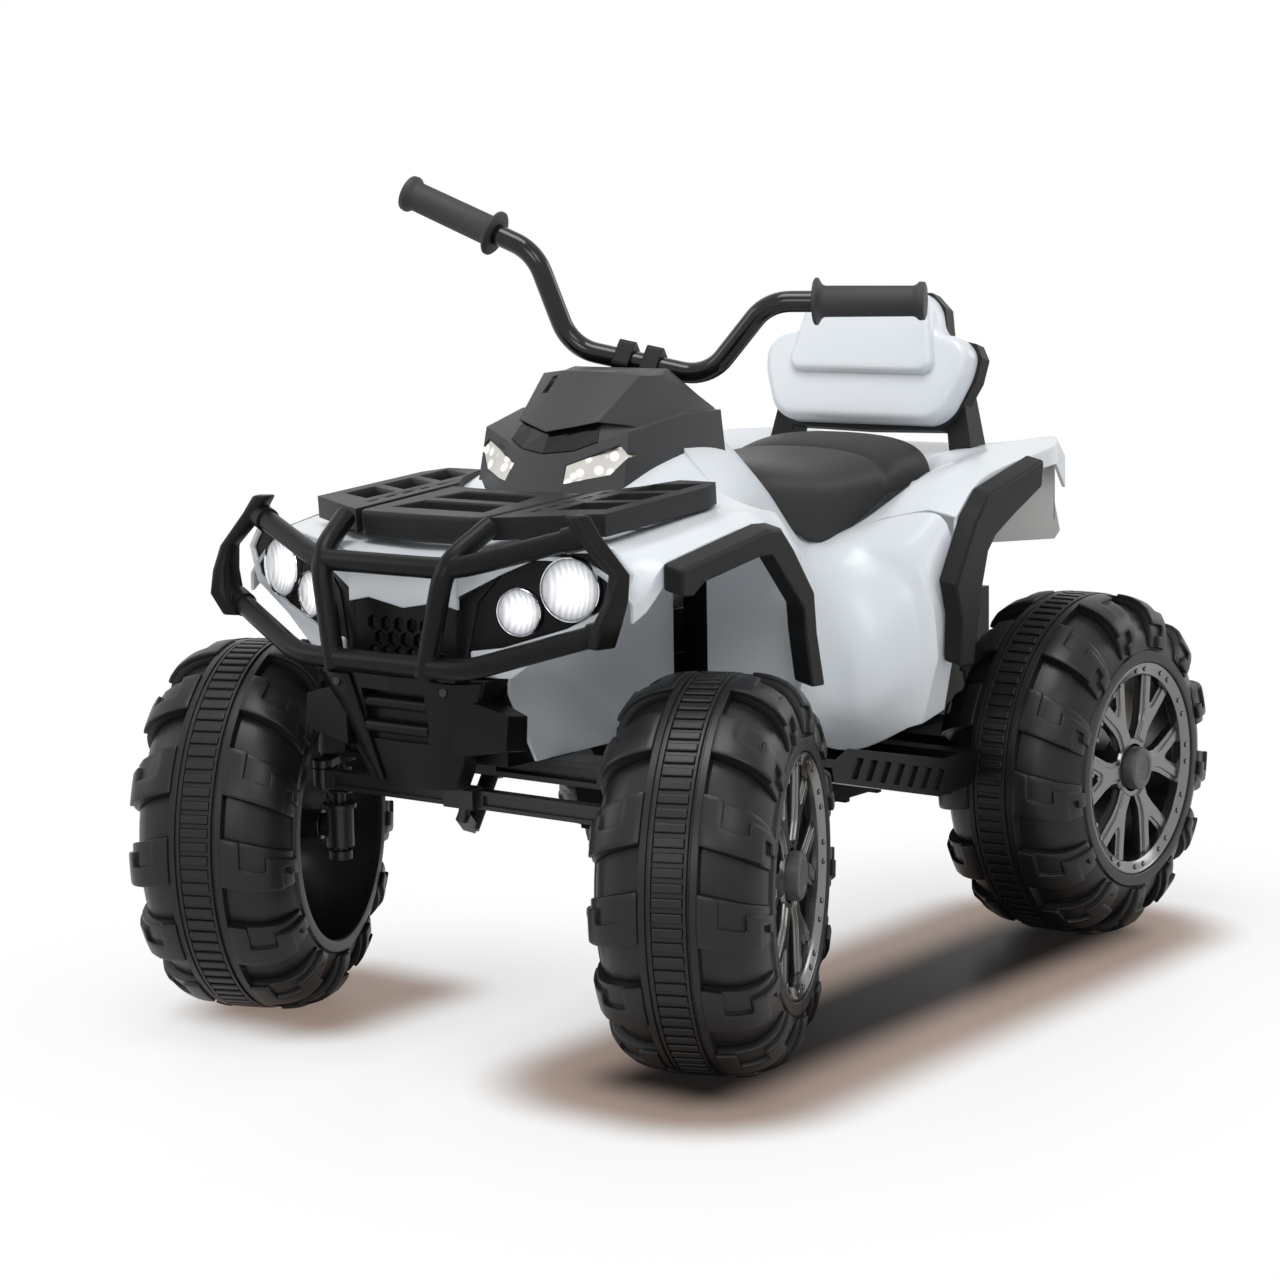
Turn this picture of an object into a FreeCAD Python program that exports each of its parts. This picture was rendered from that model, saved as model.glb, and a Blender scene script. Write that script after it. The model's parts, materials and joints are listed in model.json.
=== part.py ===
import FreeCAD, Part
import math
import os
from FreeCAD import Vector

# Kids quad bike, millimetres. +X is the rider's left, the front faces -Y, +Z is up.
# The model is laid out about the middle of the wheelbase on the ground and moved by ORIGIN_SHIFT_Y
# on writing, so that the origin lies under the middle of the overall length.
ORIGIN_SHIFT_Y = 14.0

# Wheels
WHEELBASE = 650.0
TRACK_FRONT = 496.0
TRACK_REAR = 502.0
TYRE_RADIUS = 175.0
TYRE_WIDTH = 156.0
TYRE_WALL = 4.5
BAND_WIDTH = 34.0
LUG_COUNT = 13
LUG_HEIGHT = 8.0
RIM_RADIUS = 111.7
RIM_WALL = 3.2
RIM_LIP = 4.0
SPOKE_PAIRS = 6
HUB_RADIUS = 30.0
HUB_TUBE_RADIUS = 14.0
AXLE_RADIUS = 6.0
HUB_CAP_RADIUS = 22.0
HUB_CAP_LENGTH = 11.0
AXLE_NUT_RADIUS = 10.0
AXLE_NUT_LENGTH = 8.0

# Fits
SEAT_GAP = 0.3
RUNNING_FIT = 0.05
FACE_GAP = 0.5

# Front end: sliding pillars, steering
KINGPIN_INSET = 74.0
KINGPIN_RADIUS = 6.0
SLEEVE_RADIUS = 13.0
SPRING_SEAT_RADIUS = 16.0
SPRING_WIRE = 2.6
SPRING_MEAN_RADIUS = 11.5
SPRING_TURNS = 4.5
BEAM_BOTTOM = 246.0
BEAM_HEIGHT = 22.0
BEAM_DEPTH = 36.0
ARM_LENGTH = 40.0
ARM_THICKNESS = 7.0
ROD_HEIGHT = 17.0
ROD_DEPTH = 11.0
COLUMN_RADIUS = 8.0
COLUMN_RAKE = 33.0
BUSH_WALL = 4.0
BUSH_LENGTH = 40.0
CRANK_PIN_RADIUS = 5.0
CRANK_SLOT_PLAY = 3.5
CRANK_CLEARANCE = 9.0
STEER_REST = 22.0

# Handlebar
BAR_CENTRE_DISTANCE = 483.6
BAR_RADIUS = 10.0
BAR_BEND = 45.0
GRIP_RADIUS = 14.5
GRIP_FLANGE_RADIUS = 22.0
GRIP_END_RADIUS = 18.0
CLAMP_WIDTH = 16.0
CLAMP_SPACING = 28.0
CLAMP_HEIGHT = 30.0

# Body
SHELL = 3.5
FLOOR_LEVEL = 200.0
PAN_WALL = 4.0
PAN_HALF_WIDTH = 92.0
BELLY_HALF_WIDTH = 70.0
FENDER_EDGE_X = 205.0
FLARE_WIDTH = 44.0
REAR_EDGE_X = 228.0
REAR_FLARE_WIDTH = 21.0
FLARE_DROP = 9.0
FLARE_WALL = 3.5
REAR_WALL_X = 142.0
TAIL_Y = 474.0
BOSS_X = 80.0
BOSS_RADIUS = 8.0
BOSS_TOP = 422.0
PAN_LEDGE = 212.0
PAN_TOP = 336.0
PAN_FRONT = -395.7
SKID_TOP = 348.0
SKID_BOTTOM = 246.0
SKID_REAR = -396.0
SKID_TYRE_ROOM = 53.0
CLAW_REACH = 21.0
CLAW_LENGTH = 57.0
RACK_THICKNESS = 12.0
RACK_SLOPE = 4.0
RACK_LEVEL = 473.0
RACK_FRONT = -402.0
BULL_TUBE_RADIUS = 9.5
BULL_BEND = 24.0
LUG_INSET = 24.0
LUG_TOP = 358.0
OUTER_LAMP_RADIUS = 28.0
INNER_LAMP_RADIUS = 21.0
LAMP_DEPTH = 20.0
POD_THICKNESS = 12.0
POD_SWEEP = 14.0
GRILLE_CELL = 7.0
GRILLE_RIB = 3.0
SCREW_HEAD_RADIUS = 5.0
SCREW_HEAD_HEIGHT = 2.5
RACK_SCREW_X = 101.0
RACK_SCREW_Y = (-363.0, -287.0)

# Seat and backrest
SEAT_HALF_WIDTH = 105.0
SEAT_WALL = 4.0
BACK_PANEL_DEPTH = 24.0
BACK_SHELL_DEPTH = 16.0
BACK_TILT = 15.6

# Footrests and controls
FOOTREST_OUTER_X = 243.0
FOOTREST_WALL = 6.0
FOOTREST_RIBS = 7
PEDAL_WIDTH = 40.0
PEDAL_LENGTH = 100.0
PEDAL_THICKNESS = 8.0
PEDAL_ANGLE = 22.4
BUTTON_RADIUS = 9.0
ROCKER_WIDTH = 15.0
ROCKER_LENGTH = 22.0
ROCKER_GAP = 0.9
POWER_X = 40.0
DIRECTION_X = -34.0
SPEED_X = -56.0

# Worked out from the sizes above
AXLE_Z = TYRE_RADIUS
INNER_PANEL_X = PAN_HALF_WIDTH + SEAT_GAP + SHELL
PAN_FLOOR = PAN_LEDGE + PAN_WALL
FOOTREST_INNER_X = PAN_HALF_WIDTH + SEAT_GAP
FRONT_Y = -WHEELBASE / 2
REAR_Y = WHEELBASE / 2
HALF_TYRE = TYRE_WIDTH / 2
CLAW_X = TRACK_FRONT / 2 - HALF_TYRE - SKID_TYRE_ROOM
SKID_HALF = CLAW_X - CLAW_REACH
LUG_X = SKID_HALF - LUG_INSET
KINGPIN_X = TRACK_FRONT / 2 - KINGPIN_INSET
RAKE = math.radians(COLUMN_RAKE)
COLUMN_AXIS = Vector(0, math.sin(RAKE), math.cos(RAKE))
CRANK_DIRECTION = Vector(0, -math.cos(RAKE), math.sin(RAKE))
ARM_TOP = BEAM_BOTTOM - 1.0
ARM_BOTTOM = ARM_TOP - ARM_THICKNESS
ROD_TOP = ARM_BOTTOM - 1.0
ROD_BOTTOM = ROD_TOP - ROD_HEIGHT
PIN_Y = FRONT_Y - ARM_LENGTH
CRANK_Z = ROD_BOTTOM - CRANK_CLEARANCE
CRANK_LENGTH = ARM_LENGTH - math.sin(RAKE) * ((ROD_TOP + ROD_BOTTOM) / 2 - CRANK_Z)
COLUMN_FOOT = Vector(0, PIN_Y, CRANK_Z) - CRANK_DIRECTION * CRANK_LENGTH
SLEEVE_TOP = AXLE_Z + 21.0
HUB_INNER = -HALF_TYRE + 20.0
HUB_FACE = HALF_TYRE - 12.0
NUT_FACE = HUB_FACE - 16.0
AXLE_END = NUT_FACE + AXLE_NUT_LENGTH + 2.0
DASH_LOW = Vector(0, -70.0, 557.0)
DASH_HIGH = Vector(0, -106.0, 597.0)

X_AXIS = Vector(1, 0, 0)
Y_AXIS = Vector(0, 1, 0)
Z_AXIS = Vector(0, 0, 1)


def closed_wire(points):
    return Part.makePolygon(list(points) + [points[0]])


def prism_x(outline, x_low, x_high):
    """Side view outline of (y, z) points, drawn out along X."""
    face = Part.Face(closed_wire([Vector(x_low, y, z) for y, z in outline]))
    return face.extrude(Vector(x_high - x_low, 0, 0))


def prism_y(outline, y_low, y_high):
    """Front view outline of (x, z) points, drawn out along Y."""
    face = Part.Face(closed_wire([Vector(x, y_low, z) for x, z in outline]))
    return face.extrude(Vector(0, y_high - y_low, 0))


def prism_z(outline, z_low, z_high):
    """Plan outline of (x, y) points, drawn out along Z."""
    face = Part.Face(closed_wire([Vector(x, y, z_low) for x, y in outline]))
    return face.extrude(Vector(0, 0, z_high - z_low))


def box(x, y, z):
    """Block between two limits on each axis."""
    return Part.makeBox(x[1] - x[0], y[1] - y[0], z[1] - z[0], Vector(x[0], y[0], z[0]))


def rod(start, end, radius):
    return Part.makeCylinder(radius, (end - start).Length, start, end - start)


def both_halves(outline):
    """Completes a half outline, listed from the middle outwards, with its mirror image."""
    mirrored = [(-x, other) for x, other in reversed(outline) if abs(x) > 1e-6]
    return list(outline) + mirrored


def mirrored(shape):
    return shape.mirror(Vector(0, 0, 0), X_AXIS)


def turned(shape, centre, axis, degrees):
    copy = shape.copy()
    copy.rotate(centre, axis, degrees)
    return copy


def pair(shape):
    """The same piece on both sides, as two solids."""
    return Part.makeCompound([shape, mirrored(shape)])


def loft(sections):
    return Part.makeLoft([closed_wire(points) for points in sections], True, True)


def section_y(outline, y):
    return [Vector(x, y, z) for x, z in outline]


def ring_profile(points, degrees=360.0):
    """Turns an outline of (axial, radial) points about the X axis."""
    face = Part.Face(closed_wire([Vector(a, 0, r) for a, r in points]))
    return face.revolve(Vector(0, 0, 0), X_AXIS, degrees)


def bent_tube(points, bend, radius):
    """Round bar along straight runs joined by tangent arcs of one bend radius."""
    edges = []
    start = points[0]
    for before, corner, after in zip(points, points[1:], points[2:]):
        incoming = (corner - before).normalize()
        outgoing = (after - corner).normalize()
        half_turn = incoming.getAngle(outgoing) / 2
        setback = bend * math.tan(half_turn)
        entry = corner - incoming * setback
        leave = corner + outgoing * setback
        inward = (outgoing - incoming).normalize()
        middle = corner + inward * (bend / math.cos(half_turn) - bend)
        edges.append(Part.LineSegment(start, entry).toShape())
        edges.append(Part.Arc(entry, middle, leave).toShape())
        start = leave
    edges.append(Part.LineSegment(start, points[-1]).toShape())
    circle = Part.Wire(Part.Circle(points[0], points[1] - points[0], radius).toShape())
    return Part.Wire(edges).makePipeShell([circle], True, False)


# Wheels

def make_tyre():
    """Hollow moulded tyre: smooth carcass, raised centre band, stepped lugs over each shoulder."""
    crown = TYRE_RADIUS - LUG_HEIGHT
    half_band = BAND_WIDTH / 2
    wall_a = HALF_TYRE - 4.0
    bead = RIM_RADIUS + SEAT_GAP
    bead_a = HALF_TYRE - 6.5

    def carcass_edges(side, inset):
        top = Vector(side * half_band, 0, crown - inset)
        shoulder = Vector(side * (wall_a - 16.0 - 0.6 * inset), 0, crown - 10.0 - 0.8 * inset)
        wall = Vector(side * (wall_a - inset), 0, crown - 41.0)
        foot = Vector(side * (bead_a - inset), 0, bead)
        return top, shoulder, wall, foot

    def half_line(side, inset):
        top, shoulder, wall, foot = carcass_edges(side, inset)
        return [Part.Arc(top, shoulder, wall).toShape(), Part.LineSegment(wall, foot).toShape()]

    outer_left, inner_left = carcass_edges(1, 0), carcass_edges(1, TYRE_WALL)
    outer_right, inner_right = carcass_edges(-1, 0), carcass_edges(-1, TYRE_WALL)
    band_left = Vector(half_band, 0, TYRE_RADIUS)
    band_right = Vector(-half_band, 0, TYRE_RADIUS)
    edges = half_line(1, 0) + half_line(-1, 0) + half_line(1, TYRE_WALL) + half_line(-1, TYRE_WALL)
    edges.append(Part.LineSegment(outer_left[0], band_left).toShape())
    edges.append(Part.LineSegment(band_left, band_right).toShape())
    edges.append(Part.LineSegment(band_right, outer_right[0]).toShape())
    edges.append(Part.LineSegment(inner_left[0], inner_right[0]).toShape())
    edges.append(Part.LineSegment(outer_left[3], inner_left[3]).toShape())
    edges.append(Part.LineSegment(outer_right[3], inner_right[3]).toShape())
    wire = Part.Wire(Part.__sortEdges__(edges))
    carcass = Part.Face(wire).revolve(Vector(0, 0, 0), X_AXIS, 360)

    pitch = 360.0 / LUG_COUNT
    tread = [(half_band, crown - 2.5), (half_band, TYRE_RADIUS - 1.5),
             (wall_a - 26.0, TYRE_RADIUS - 4.0), (wall_a - 26.0, crown - 8.5)]
    shoulder = [(wall_a - 30.0, crown - 6.5), (wall_a - 30.0, TYRE_RADIUS - 3.5),
                (wall_a - 12.0, TYRE_RADIUS - 9.0), (wall_a + 1.0, TYRE_RADIUS - 25.0),
                (HALF_TYRE, TYRE_RADIUS - 41.0), (HALF_TYRE, TYRE_RADIUS - 53.0),
                (wall_a - 2.5, TYRE_RADIUS - 51.0), (wall_a - 5.0, TYRE_RADIUS - 37.0),
                (wall_a - 14.0, crown - 14.0)]
    tread_lug = ring_profile(tread, 0.66 * pitch)
    shoulder_lug = turned(ring_profile(shoulder, 0.48 * pitch), Vector(0, 0, 0), X_AXIS, 0.26 * pitch)
    lug = tread_lug.fuse(shoulder_lug)
    lugs = []
    for index in range(LUG_COUNT):
        one = turned(lug, Vector(0, 0, 0), X_AXIS, index * pitch)
        lugs.append(one)
        lugs.append(mirrored(one))
    return carcass.fuse(lugs)


def make_rim():
    """Open drum with retaining lips, a disc of split spokes and a long bearing tube."""
    bore = RIM_RADIUS - RIM_WALL
    lip_in = HALF_TYRE - 5.4
    lip_out = HALF_TYRE - 2.4
    face_a = HALF_TYRE - 16.0
    disc_thickness = 9.0
    ring_inner = bore - 10.0
    drum = ring_profile([(-lip_out, bore), (-lip_out, RIM_RADIUS + RIM_LIP), (-lip_in, RIM_RADIUS + RIM_LIP),
                         (-lip_in, RIM_RADIUS), (lip_in, RIM_RADIUS), (lip_in, RIM_RADIUS + RIM_LIP),
                         (lip_out, RIM_RADIUS + RIM_LIP), (lip_out, ring_inner), (face_a, ring_inner),
                         (face_a, bore)])
    disc = ring_profile([(face_a - disc_thickness, HUB_TUBE_RADIUS), (face_a - disc_thickness, bore),
                         (face_a, bore), (face_a, HUB_TUBE_RADIUS)])
    hub = ring_profile([(HUB_INNER, AXLE_RADIUS + RUNNING_FIT), (HUB_INNER, HUB_TUBE_RADIUS),
                        (face_a - 14.0, HUB_TUBE_RADIUS), (face_a - 14.0, HUB_RADIUS),
                        (HUB_FACE, HUB_RADIUS), (HUB_FACE, AXLE_NUT_RADIUS + 2.0),
                        (NUT_FACE, AXLE_NUT_RADIUS + 2.0), (NUT_FACE, AXLE_RADIUS + RUNNING_FIT)])

    def window(centre, inner, outer, inner_half, outer_half):
        corners = [(inner, -inner_half), (outer, -outer_half), (outer, outer_half), (inner, inner_half)]
        outline = []
        for radius, angle in corners:
            turn = math.radians(centre + angle)
            outline.append((radius * math.sin(turn), radius * math.cos(turn)))
        return prism_x(outline, 0, HALF_TYRE)

    cuts = []
    for index in range(SPOKE_PAIRS):
        centre = index * 360.0 / SPOKE_PAIRS
        cuts.append(window(centre, HUB_RADIUS + 8.0, ring_inner, 9.0, 14.0))
        cuts.append(window(centre + 180.0 / SPOKE_PAIRS, HUB_RADIUS + 30.0, ring_inner, 3.0, 8.0))
    return drum.fuse([disc.cut(cuts), hub])


def make_hub_cap():
    edge = 3.0
    end = HUB_FACE + HUB_CAP_LENGTH
    return ring_profile([(HUB_FACE, 0), (HUB_FACE, HUB_CAP_RADIUS), (end - edge, HUB_CAP_RADIUS),
                         (end, HUB_CAP_RADIUS - edge), (end, HUB_CAP_RADIUS - 7.0),
                         (end - 2.0, HUB_CAP_RADIUS - 8.0), (end - 2.0, 0)])


def make_axle_nut():
    nut = Part.makeCylinder(AXLE_NUT_RADIUS, AXLE_NUT_LENGTH, Vector(NUT_FACE + SEAT_GAP, 0, 0), X_AXIS)
    bore = Part.makeCylinder(AXLE_RADIUS, AXLE_NUT_LENGTH * 2, Vector(NUT_FACE, 0, 0), X_AXIS)
    return nut.cut(bore)


def at_wheel(shape, side, track, y):
    """Places a wheel piece, made with its outer face towards +X, at a wheel's centre."""
    copy = shape.copy() if side > 0 else mirrored(shape)
    copy.translate(Vector(side * track / 2, y, AXLE_Z))
    return copy


# Front suspension and steering

def make_axle_beam():
    """Cross beam with a vertical sleeve for each kingpin and a raked boss for the column bush."""
    top = BEAM_BOTTOM + BEAM_HEIGHT
    y_front = FRONT_Y - BEAM_DEPTH / 2
    y_rear = FRONT_Y + BEAM_DEPTH / 2
    half = KINGPIN_X
    beam = prism_y([(-half, BEAM_BOTTOM), (half, BEAM_BOTTOM), (half, top), (-half, top)], y_front, y_rear)
    groove = box((-half + 26.0, -34.0), (y_front - 1.0, y_front + 8.0), (BEAM_BOTTOM + 5.0, top - 5.0))
    beam = beam.cut([groove, mirrored(groove)])
    for side in (-1, 1):
        centre = Vector(side * KINGPIN_X, FRONT_Y, BEAM_BOTTOM)
        beam = beam.fuse(Part.makeCylinder(BEAM_DEPTH / 2, BEAM_HEIGHT, centre, Z_AXIS))
    boss_radius = COLUMN_RADIUS + BUSH_WALL + 6.0
    boss_start = bush_start() - COLUMN_AXIS * 12.0
    boss = Part.makeCylinder(boss_radius, BUSH_LENGTH + 20.0, boss_start, COLUMN_AXIS)
    band = box((-60.0, 60.0), (FRONT_Y - 120.0, FRONT_Y + 120.0), (BEAM_BOTTOM, top))
    beam = beam.fuse(boss.common(band))
    for side in (-1, 1):
        centre = Vector(side * KINGPIN_X, FRONT_Y, BEAM_BOTTOM - 1.0)
        beam = beam.cut(Part.makeCylinder(KINGPIN_RADIUS + RUNNING_FIT, BEAM_HEIGHT + 2.0, centre, Z_AXIS))
    bore_start = bush_start() - COLUMN_AXIS * 60.0
    bore = Part.makeCylinder(COLUMN_RADIUS + BUSH_WALL, BUSH_LENGTH + 120.0, bore_start, COLUMN_AXIS)
    return beam.cut(bore)


def bush_start():
    """Lower end of the bush, on the column's axis just under the beam."""
    rise = (BEAM_BOTTOM - 6.0 - COLUMN_FOOT.z) / COLUMN_AXIS.z
    return COLUMN_FOOT + COLUMN_AXIS * rise


def make_column_bush():
    outer = Part.makeCylinder(COLUMN_RADIUS + BUSH_WALL, BUSH_LENGTH, bush_start(), COLUMN_AXIS)
    inner = Part.makeCylinder(COLUMN_RADIUS + RUNNING_FIT, BUSH_LENGTH, bush_start(), COLUMN_AXIS)
    return outer.cut(inner)


def make_kingpin():
    """Vertical pin with its steering arm, for the left side, wheels straight."""
    foot = AXLE_Z - 32.0
    head = BEAM_BOTTOM + BEAM_HEIGHT
    base = Vector(KINGPIN_X, FRONT_Y, 0)
    pin = rod(base + Z_AXIS * foot, base + Z_AXIS * (head + 10.0), KINGPIN_RADIUS)
    washer = rod(base + Z_AXIS * (head + FACE_GAP), base + Z_AXIS * (head + 7.0), KINGPIN_RADIUS + 6.0)
    stop = rod(base + Z_AXIS * foot, base + Z_AXIS * (foot + 8.0), KINGPIN_RADIUS + 5.0)
    arm_half = 9.0
    arm = box((KINGPIN_X - arm_half, KINGPIN_X + arm_half), (PIN_Y, FRONT_Y), (ARM_BOTTOM, ARM_TOP))
    ends = []
    for y, radius in ((PIN_Y, arm_half), (FRONT_Y, SPRING_SEAT_RADIUS)):
        ends.append(rod(Vector(KINGPIN_X, y, ARM_BOTTOM), Vector(KINGPIN_X, y, ARM_TOP), radius))
    link_foot = Vector(KINGPIN_X, PIN_Y, ROD_BOTTOM - 3.0)
    link = rod(link_foot, Vector(KINGPIN_X, PIN_Y, ARM_TOP), CRANK_PIN_RADIUS)
    return pin.fuse([washer, stop, arm, link] + ends)


def make_knuckle():
    """Sleeve that slides on the kingpin, with the stub axle and the spring's lower seat, left side."""
    base = Vector(KINGPIN_X, FRONT_Y, 0)
    low = AXLE_Z - 20.0
    sleeve = rod(base + Z_AXIS * low, base + Z_AXIS * SLEEVE_TOP, SLEEVE_RADIUS)
    seat = rod(base + Z_AXIS * (SLEEVE_TOP - 4.0), base + Z_AXIS * SLEEVE_TOP, SPRING_SEAT_RADIUS)
    centre = Vector(TRACK_FRONT / 2, FRONT_Y, AXLE_Z)
    stub = rod(Vector(KINGPIN_X, FRONT_Y, AXLE_Z), centre + X_AXIS * AXLE_END, AXLE_RADIUS)
    shoulder_end = centre + X_AXIS * (HUB_INNER - FACE_GAP)
    shoulder = rod(Vector(KINGPIN_X, FRONT_Y, AXLE_Z), shoulder_end, AXLE_RADIUS + 5.0)
    whole = sleeve.fuse([seat, stub, shoulder])
    bore = rod(base + Z_AXIS * (low - 1.0), base + Z_AXIS * (SLEEVE_TOP + 1.0), KINGPIN_RADIUS + RUNNING_FIT)
    return whole.cut(bore)


def biarc(start, start_tangent, end, end_tangent):
    """Two arcs that leave start and reach end along the given directions."""
    chord = end - start
    tangents = start_tangent + end_tangent
    a = 2.0 * (1.0 - start_tangent.dot(end_tangent))
    b = 2.0 * chord.dot(tangents)
    c = -chord.dot(chord)
    length = (-b + math.sqrt(b * b - 4.0 * a * c)) / (2.0 * a) if abs(a) > 1e-9 else -c / b
    first = start + start_tangent * length
    second = end - end_tangent * length
    joint = (first + second) * 0.5
    arcs = []
    for p, tangent, q in ((start, start_tangent, joint), (joint, (second - first).normalize(), end)):
        arcs.append(Part.Arc(p, arc_middle(p, tangent, q), q).toShape())
    return arcs


def arc_middle(start, tangent, end):
    """Middle point of the arc that leaves start along tangent and ends at end."""
    chord = end - start
    across = tangent - chord * (tangent.dot(chord) / chord.dot(chord))
    sine = across.Length
    half = math.atan2(sine, tangent.dot(chord) / chord.Length)
    sag = chord.Length / 2 * math.tan(half / 2)
    return (start + end) * 0.5 + across.normalize() * sag


def make_spring():
    """Compression spring about the left kingpin: one wire with upright ends on both seats."""
    low = SLEEVE_TOP
    high = ARM_BOTTOM
    end_rise = SPRING_WIRE
    lead = math.pi / 2
    bend_rise = 6.0
    helix_low = low + end_rise + bend_rise
    helix_high = high - end_rise - bend_rise
    sweep = 2.0 * math.pi * SPRING_TURNS
    climb = (helix_high - helix_low) / sweep
    base = Vector(KINGPIN_X, FRONT_Y, 0)

    def on_circle(angle, z):
        return base + Vector(SPRING_MEAN_RADIUS * math.cos(angle), SPRING_MEAN_RADIUS * math.sin(angle), z)

    def on_helix(angle):
        return on_circle(angle, helix_low + climb * angle)

    def along(angle):
        level = Vector(-math.sin(angle), math.cos(angle), 0) * SPRING_MEAN_RADIUS
        return (level + Z_AXIS * climb).normalize()

    foot = on_circle(-lead / 2, low)
    knee = foot + Z_AXIS * end_rise
    top = on_circle(sweep + lead / 2, high)
    neck = top - Z_AXIS * end_rise
    edges = [Part.LineSegment(foot, knee).toShape()]
    edges += biarc(knee, Z_AXIS, on_helix(0), along(0))
    steps = int(round(SPRING_TURNS * 4))
    for index in range(steps):
        before = sweep * index / steps
        after = sweep * (index + 1) / steps
        edges += biarc(on_helix(before), along(before), on_helix(after), along(after))
    edges += biarc(on_helix(sweep), along(sweep), neck, Z_AXIS)
    edges.append(Part.LineSegment(neck, top).toShape())
    path = Part.Wire(edges)
    points = path.discretize(Number=600)
    least = 1e9
    skip = int(600 / SPRING_TURNS / 2)
    for first in range(0, 600, 2):
        for second in range(first + skip, 600, 2):
            least = min(least, (points[first] - points[second]).Length)
    print("spring: least gap between turns %.2f mm" % (least - SPRING_WIRE))
    circle = Part.Wire(Part.Circle(foot, Z_AXIS, SPRING_WIRE / 2).toShape())
    return path.makePipeShell([circle], True, False)


def make_tie_rod():
    """Flat bar with an eye at each steering arm and a slotted pad for the column's crank."""
    y_front = PIN_Y - ROD_DEPTH / 2
    bar = box((-KINGPIN_X, KINGPIN_X), (y_front, y_front + ROD_DEPTH), (ROD_BOTTOM, ROD_TOP))
    eye_radius = 9.0
    pad = box((-17.0, 17.0), (PIN_Y - 12.0, PIN_Y + 12.0), (ROD_BOTTOM, ROD_TOP))
    eyes = []
    bores = []
    for side in (-1, 1):
        low = Vector(side * KINGPIN_X, PIN_Y, ROD_BOTTOM)
        eyes.append(Part.makeCylinder(eye_radius, ROD_HEIGHT, low, Z_AXIS))
        play = RUNNING_FIT if side > 0 else FACE_GAP
        bores.append(Part.makeCylinder(CRANK_PIN_RADIUS + play, ROD_HEIGHT, low, Z_AXIS))
    slot_half = CRANK_PIN_RADIUS + CRANK_SLOT_PLAY
    slot = box((-slot_half, slot_half), (PIN_Y - slot_half, PIN_Y + slot_half), (ROD_BOTTOM, ROD_TOP))
    groove = box((24.0, KINGPIN_X - 20.0), (y_front, y_front + 3.0), (ROD_BOTTOM + 4.0, ROD_TOP - 4.0))
    return bar.fuse(eyes + [pad]).cut(bores + [slot, groove, mirrored(groove)])


def bar_centre():
    """Middle of the handlebar, on the column's axis."""
    return COLUMN_FOOT + COLUMN_AXIS * BAR_CENTRE_DISTANCE


def make_column():
    """Steering rod with its welded crank and crank pin at the foot; the head stands between the clamps."""
    top = bar_centre() - COLUMN_AXIS * (BAR_RADIUS + FACE_GAP)
    shaft = rod(COLUMN_FOOT, top, COLUMN_RADIUS)
    crank_end = COLUMN_FOOT + CRANK_DIRECTION * CRANK_LENGTH
    web_half = 6.0
    web = Part.makeBox(2 * web_half, CRANK_LENGTH, 8.0, Vector(-web_half, 0, -4.0))
    web.rotate(Vector(0, 0, 0), X_AXIS, 180.0 - COLUMN_RAKE)
    web.translate(COLUMN_FOOT)
    pin = rod(crank_end - Z_AXIS * 4.0, Vector(0, PIN_Y, ROD_TOP + 3.0), CRANK_PIN_RADIUS)
    return shaft.fuse([pin, web])


def handlebar_points():
    """Centre line from the middle out to the left end, wheels straight."""
    centre = bar_centre()
    return [centre, centre + Vector(70.0, 0, 0), centre + Vector(118.0, -12.0, 84.0),
            centre + Vector(258.0, 4.0, 112.0)]


def make_handlebar():
    half = handlebar_points()
    full = [Vector(-p.x, p.y, p.z) for p in reversed(half[1:])] + half[1:]
    return bent_tube(full, BAR_BEND, BAR_RADIUS)


def make_clamps():
    """Two split blocks that hold the handlebar on the column head."""
    clamps = []
    centre = bar_centre()
    for side in (-1, 1):
        x_low = side * CLAMP_SPACING / 2 - CLAMP_WIDTH / 2
        block = Part.makeBox(CLAMP_WIDTH, 26.0, CLAMP_HEIGHT, Vector(x_low, -13.0, -14.0))
        edges = [edge for edge in block.Edges if abs(edge.BoundBox.XLength - CLAMP_WIDTH) < 0.01]
        block = block.makeFillet(5.0, edges)
        block.rotate(Vector(0, 0, 0), X_AXIS, -COLUMN_RAKE)
        block.translate(centre)
        hole = rod(centre - X_AXIS * 60.0, centre + X_AXIS * 60.0, BAR_RADIUS + RUNNING_FIT)
        clamps.append(block.cut([hole, rod(bush_start(), centre, COLUMN_RADIUS + RUNNING_FIT)]))
    return Part.makeCompound(clamps)


def make_grip():
    """Rubber grip on the left end with a hand stop at each end."""
    outer_end = handlebar_points()[3]
    direction = (handlebar_points()[3] - handlebar_points()[2]).normalize()
    length = 104.0
    start = outer_end - direction * (length - 4.0)
    stops = [(0.0, 6.0, GRIP_FLANGE_RADIUS), (length - 6.0, 6.0, GRIP_END_RADIUS)]
    grip = Part.makeCylinder(GRIP_RADIUS, length, start, direction)
    grip = grip.fuse([Part.makeCylinder(radius, width, start + direction * place, direction)
                      for place, width, radius in stops])
    bore = Part.makeCylinder(BAR_RADIUS + RUNNING_FIT, length - 4.0, start, direction)
    return grip.cut(bore)


# Chassis

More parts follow.
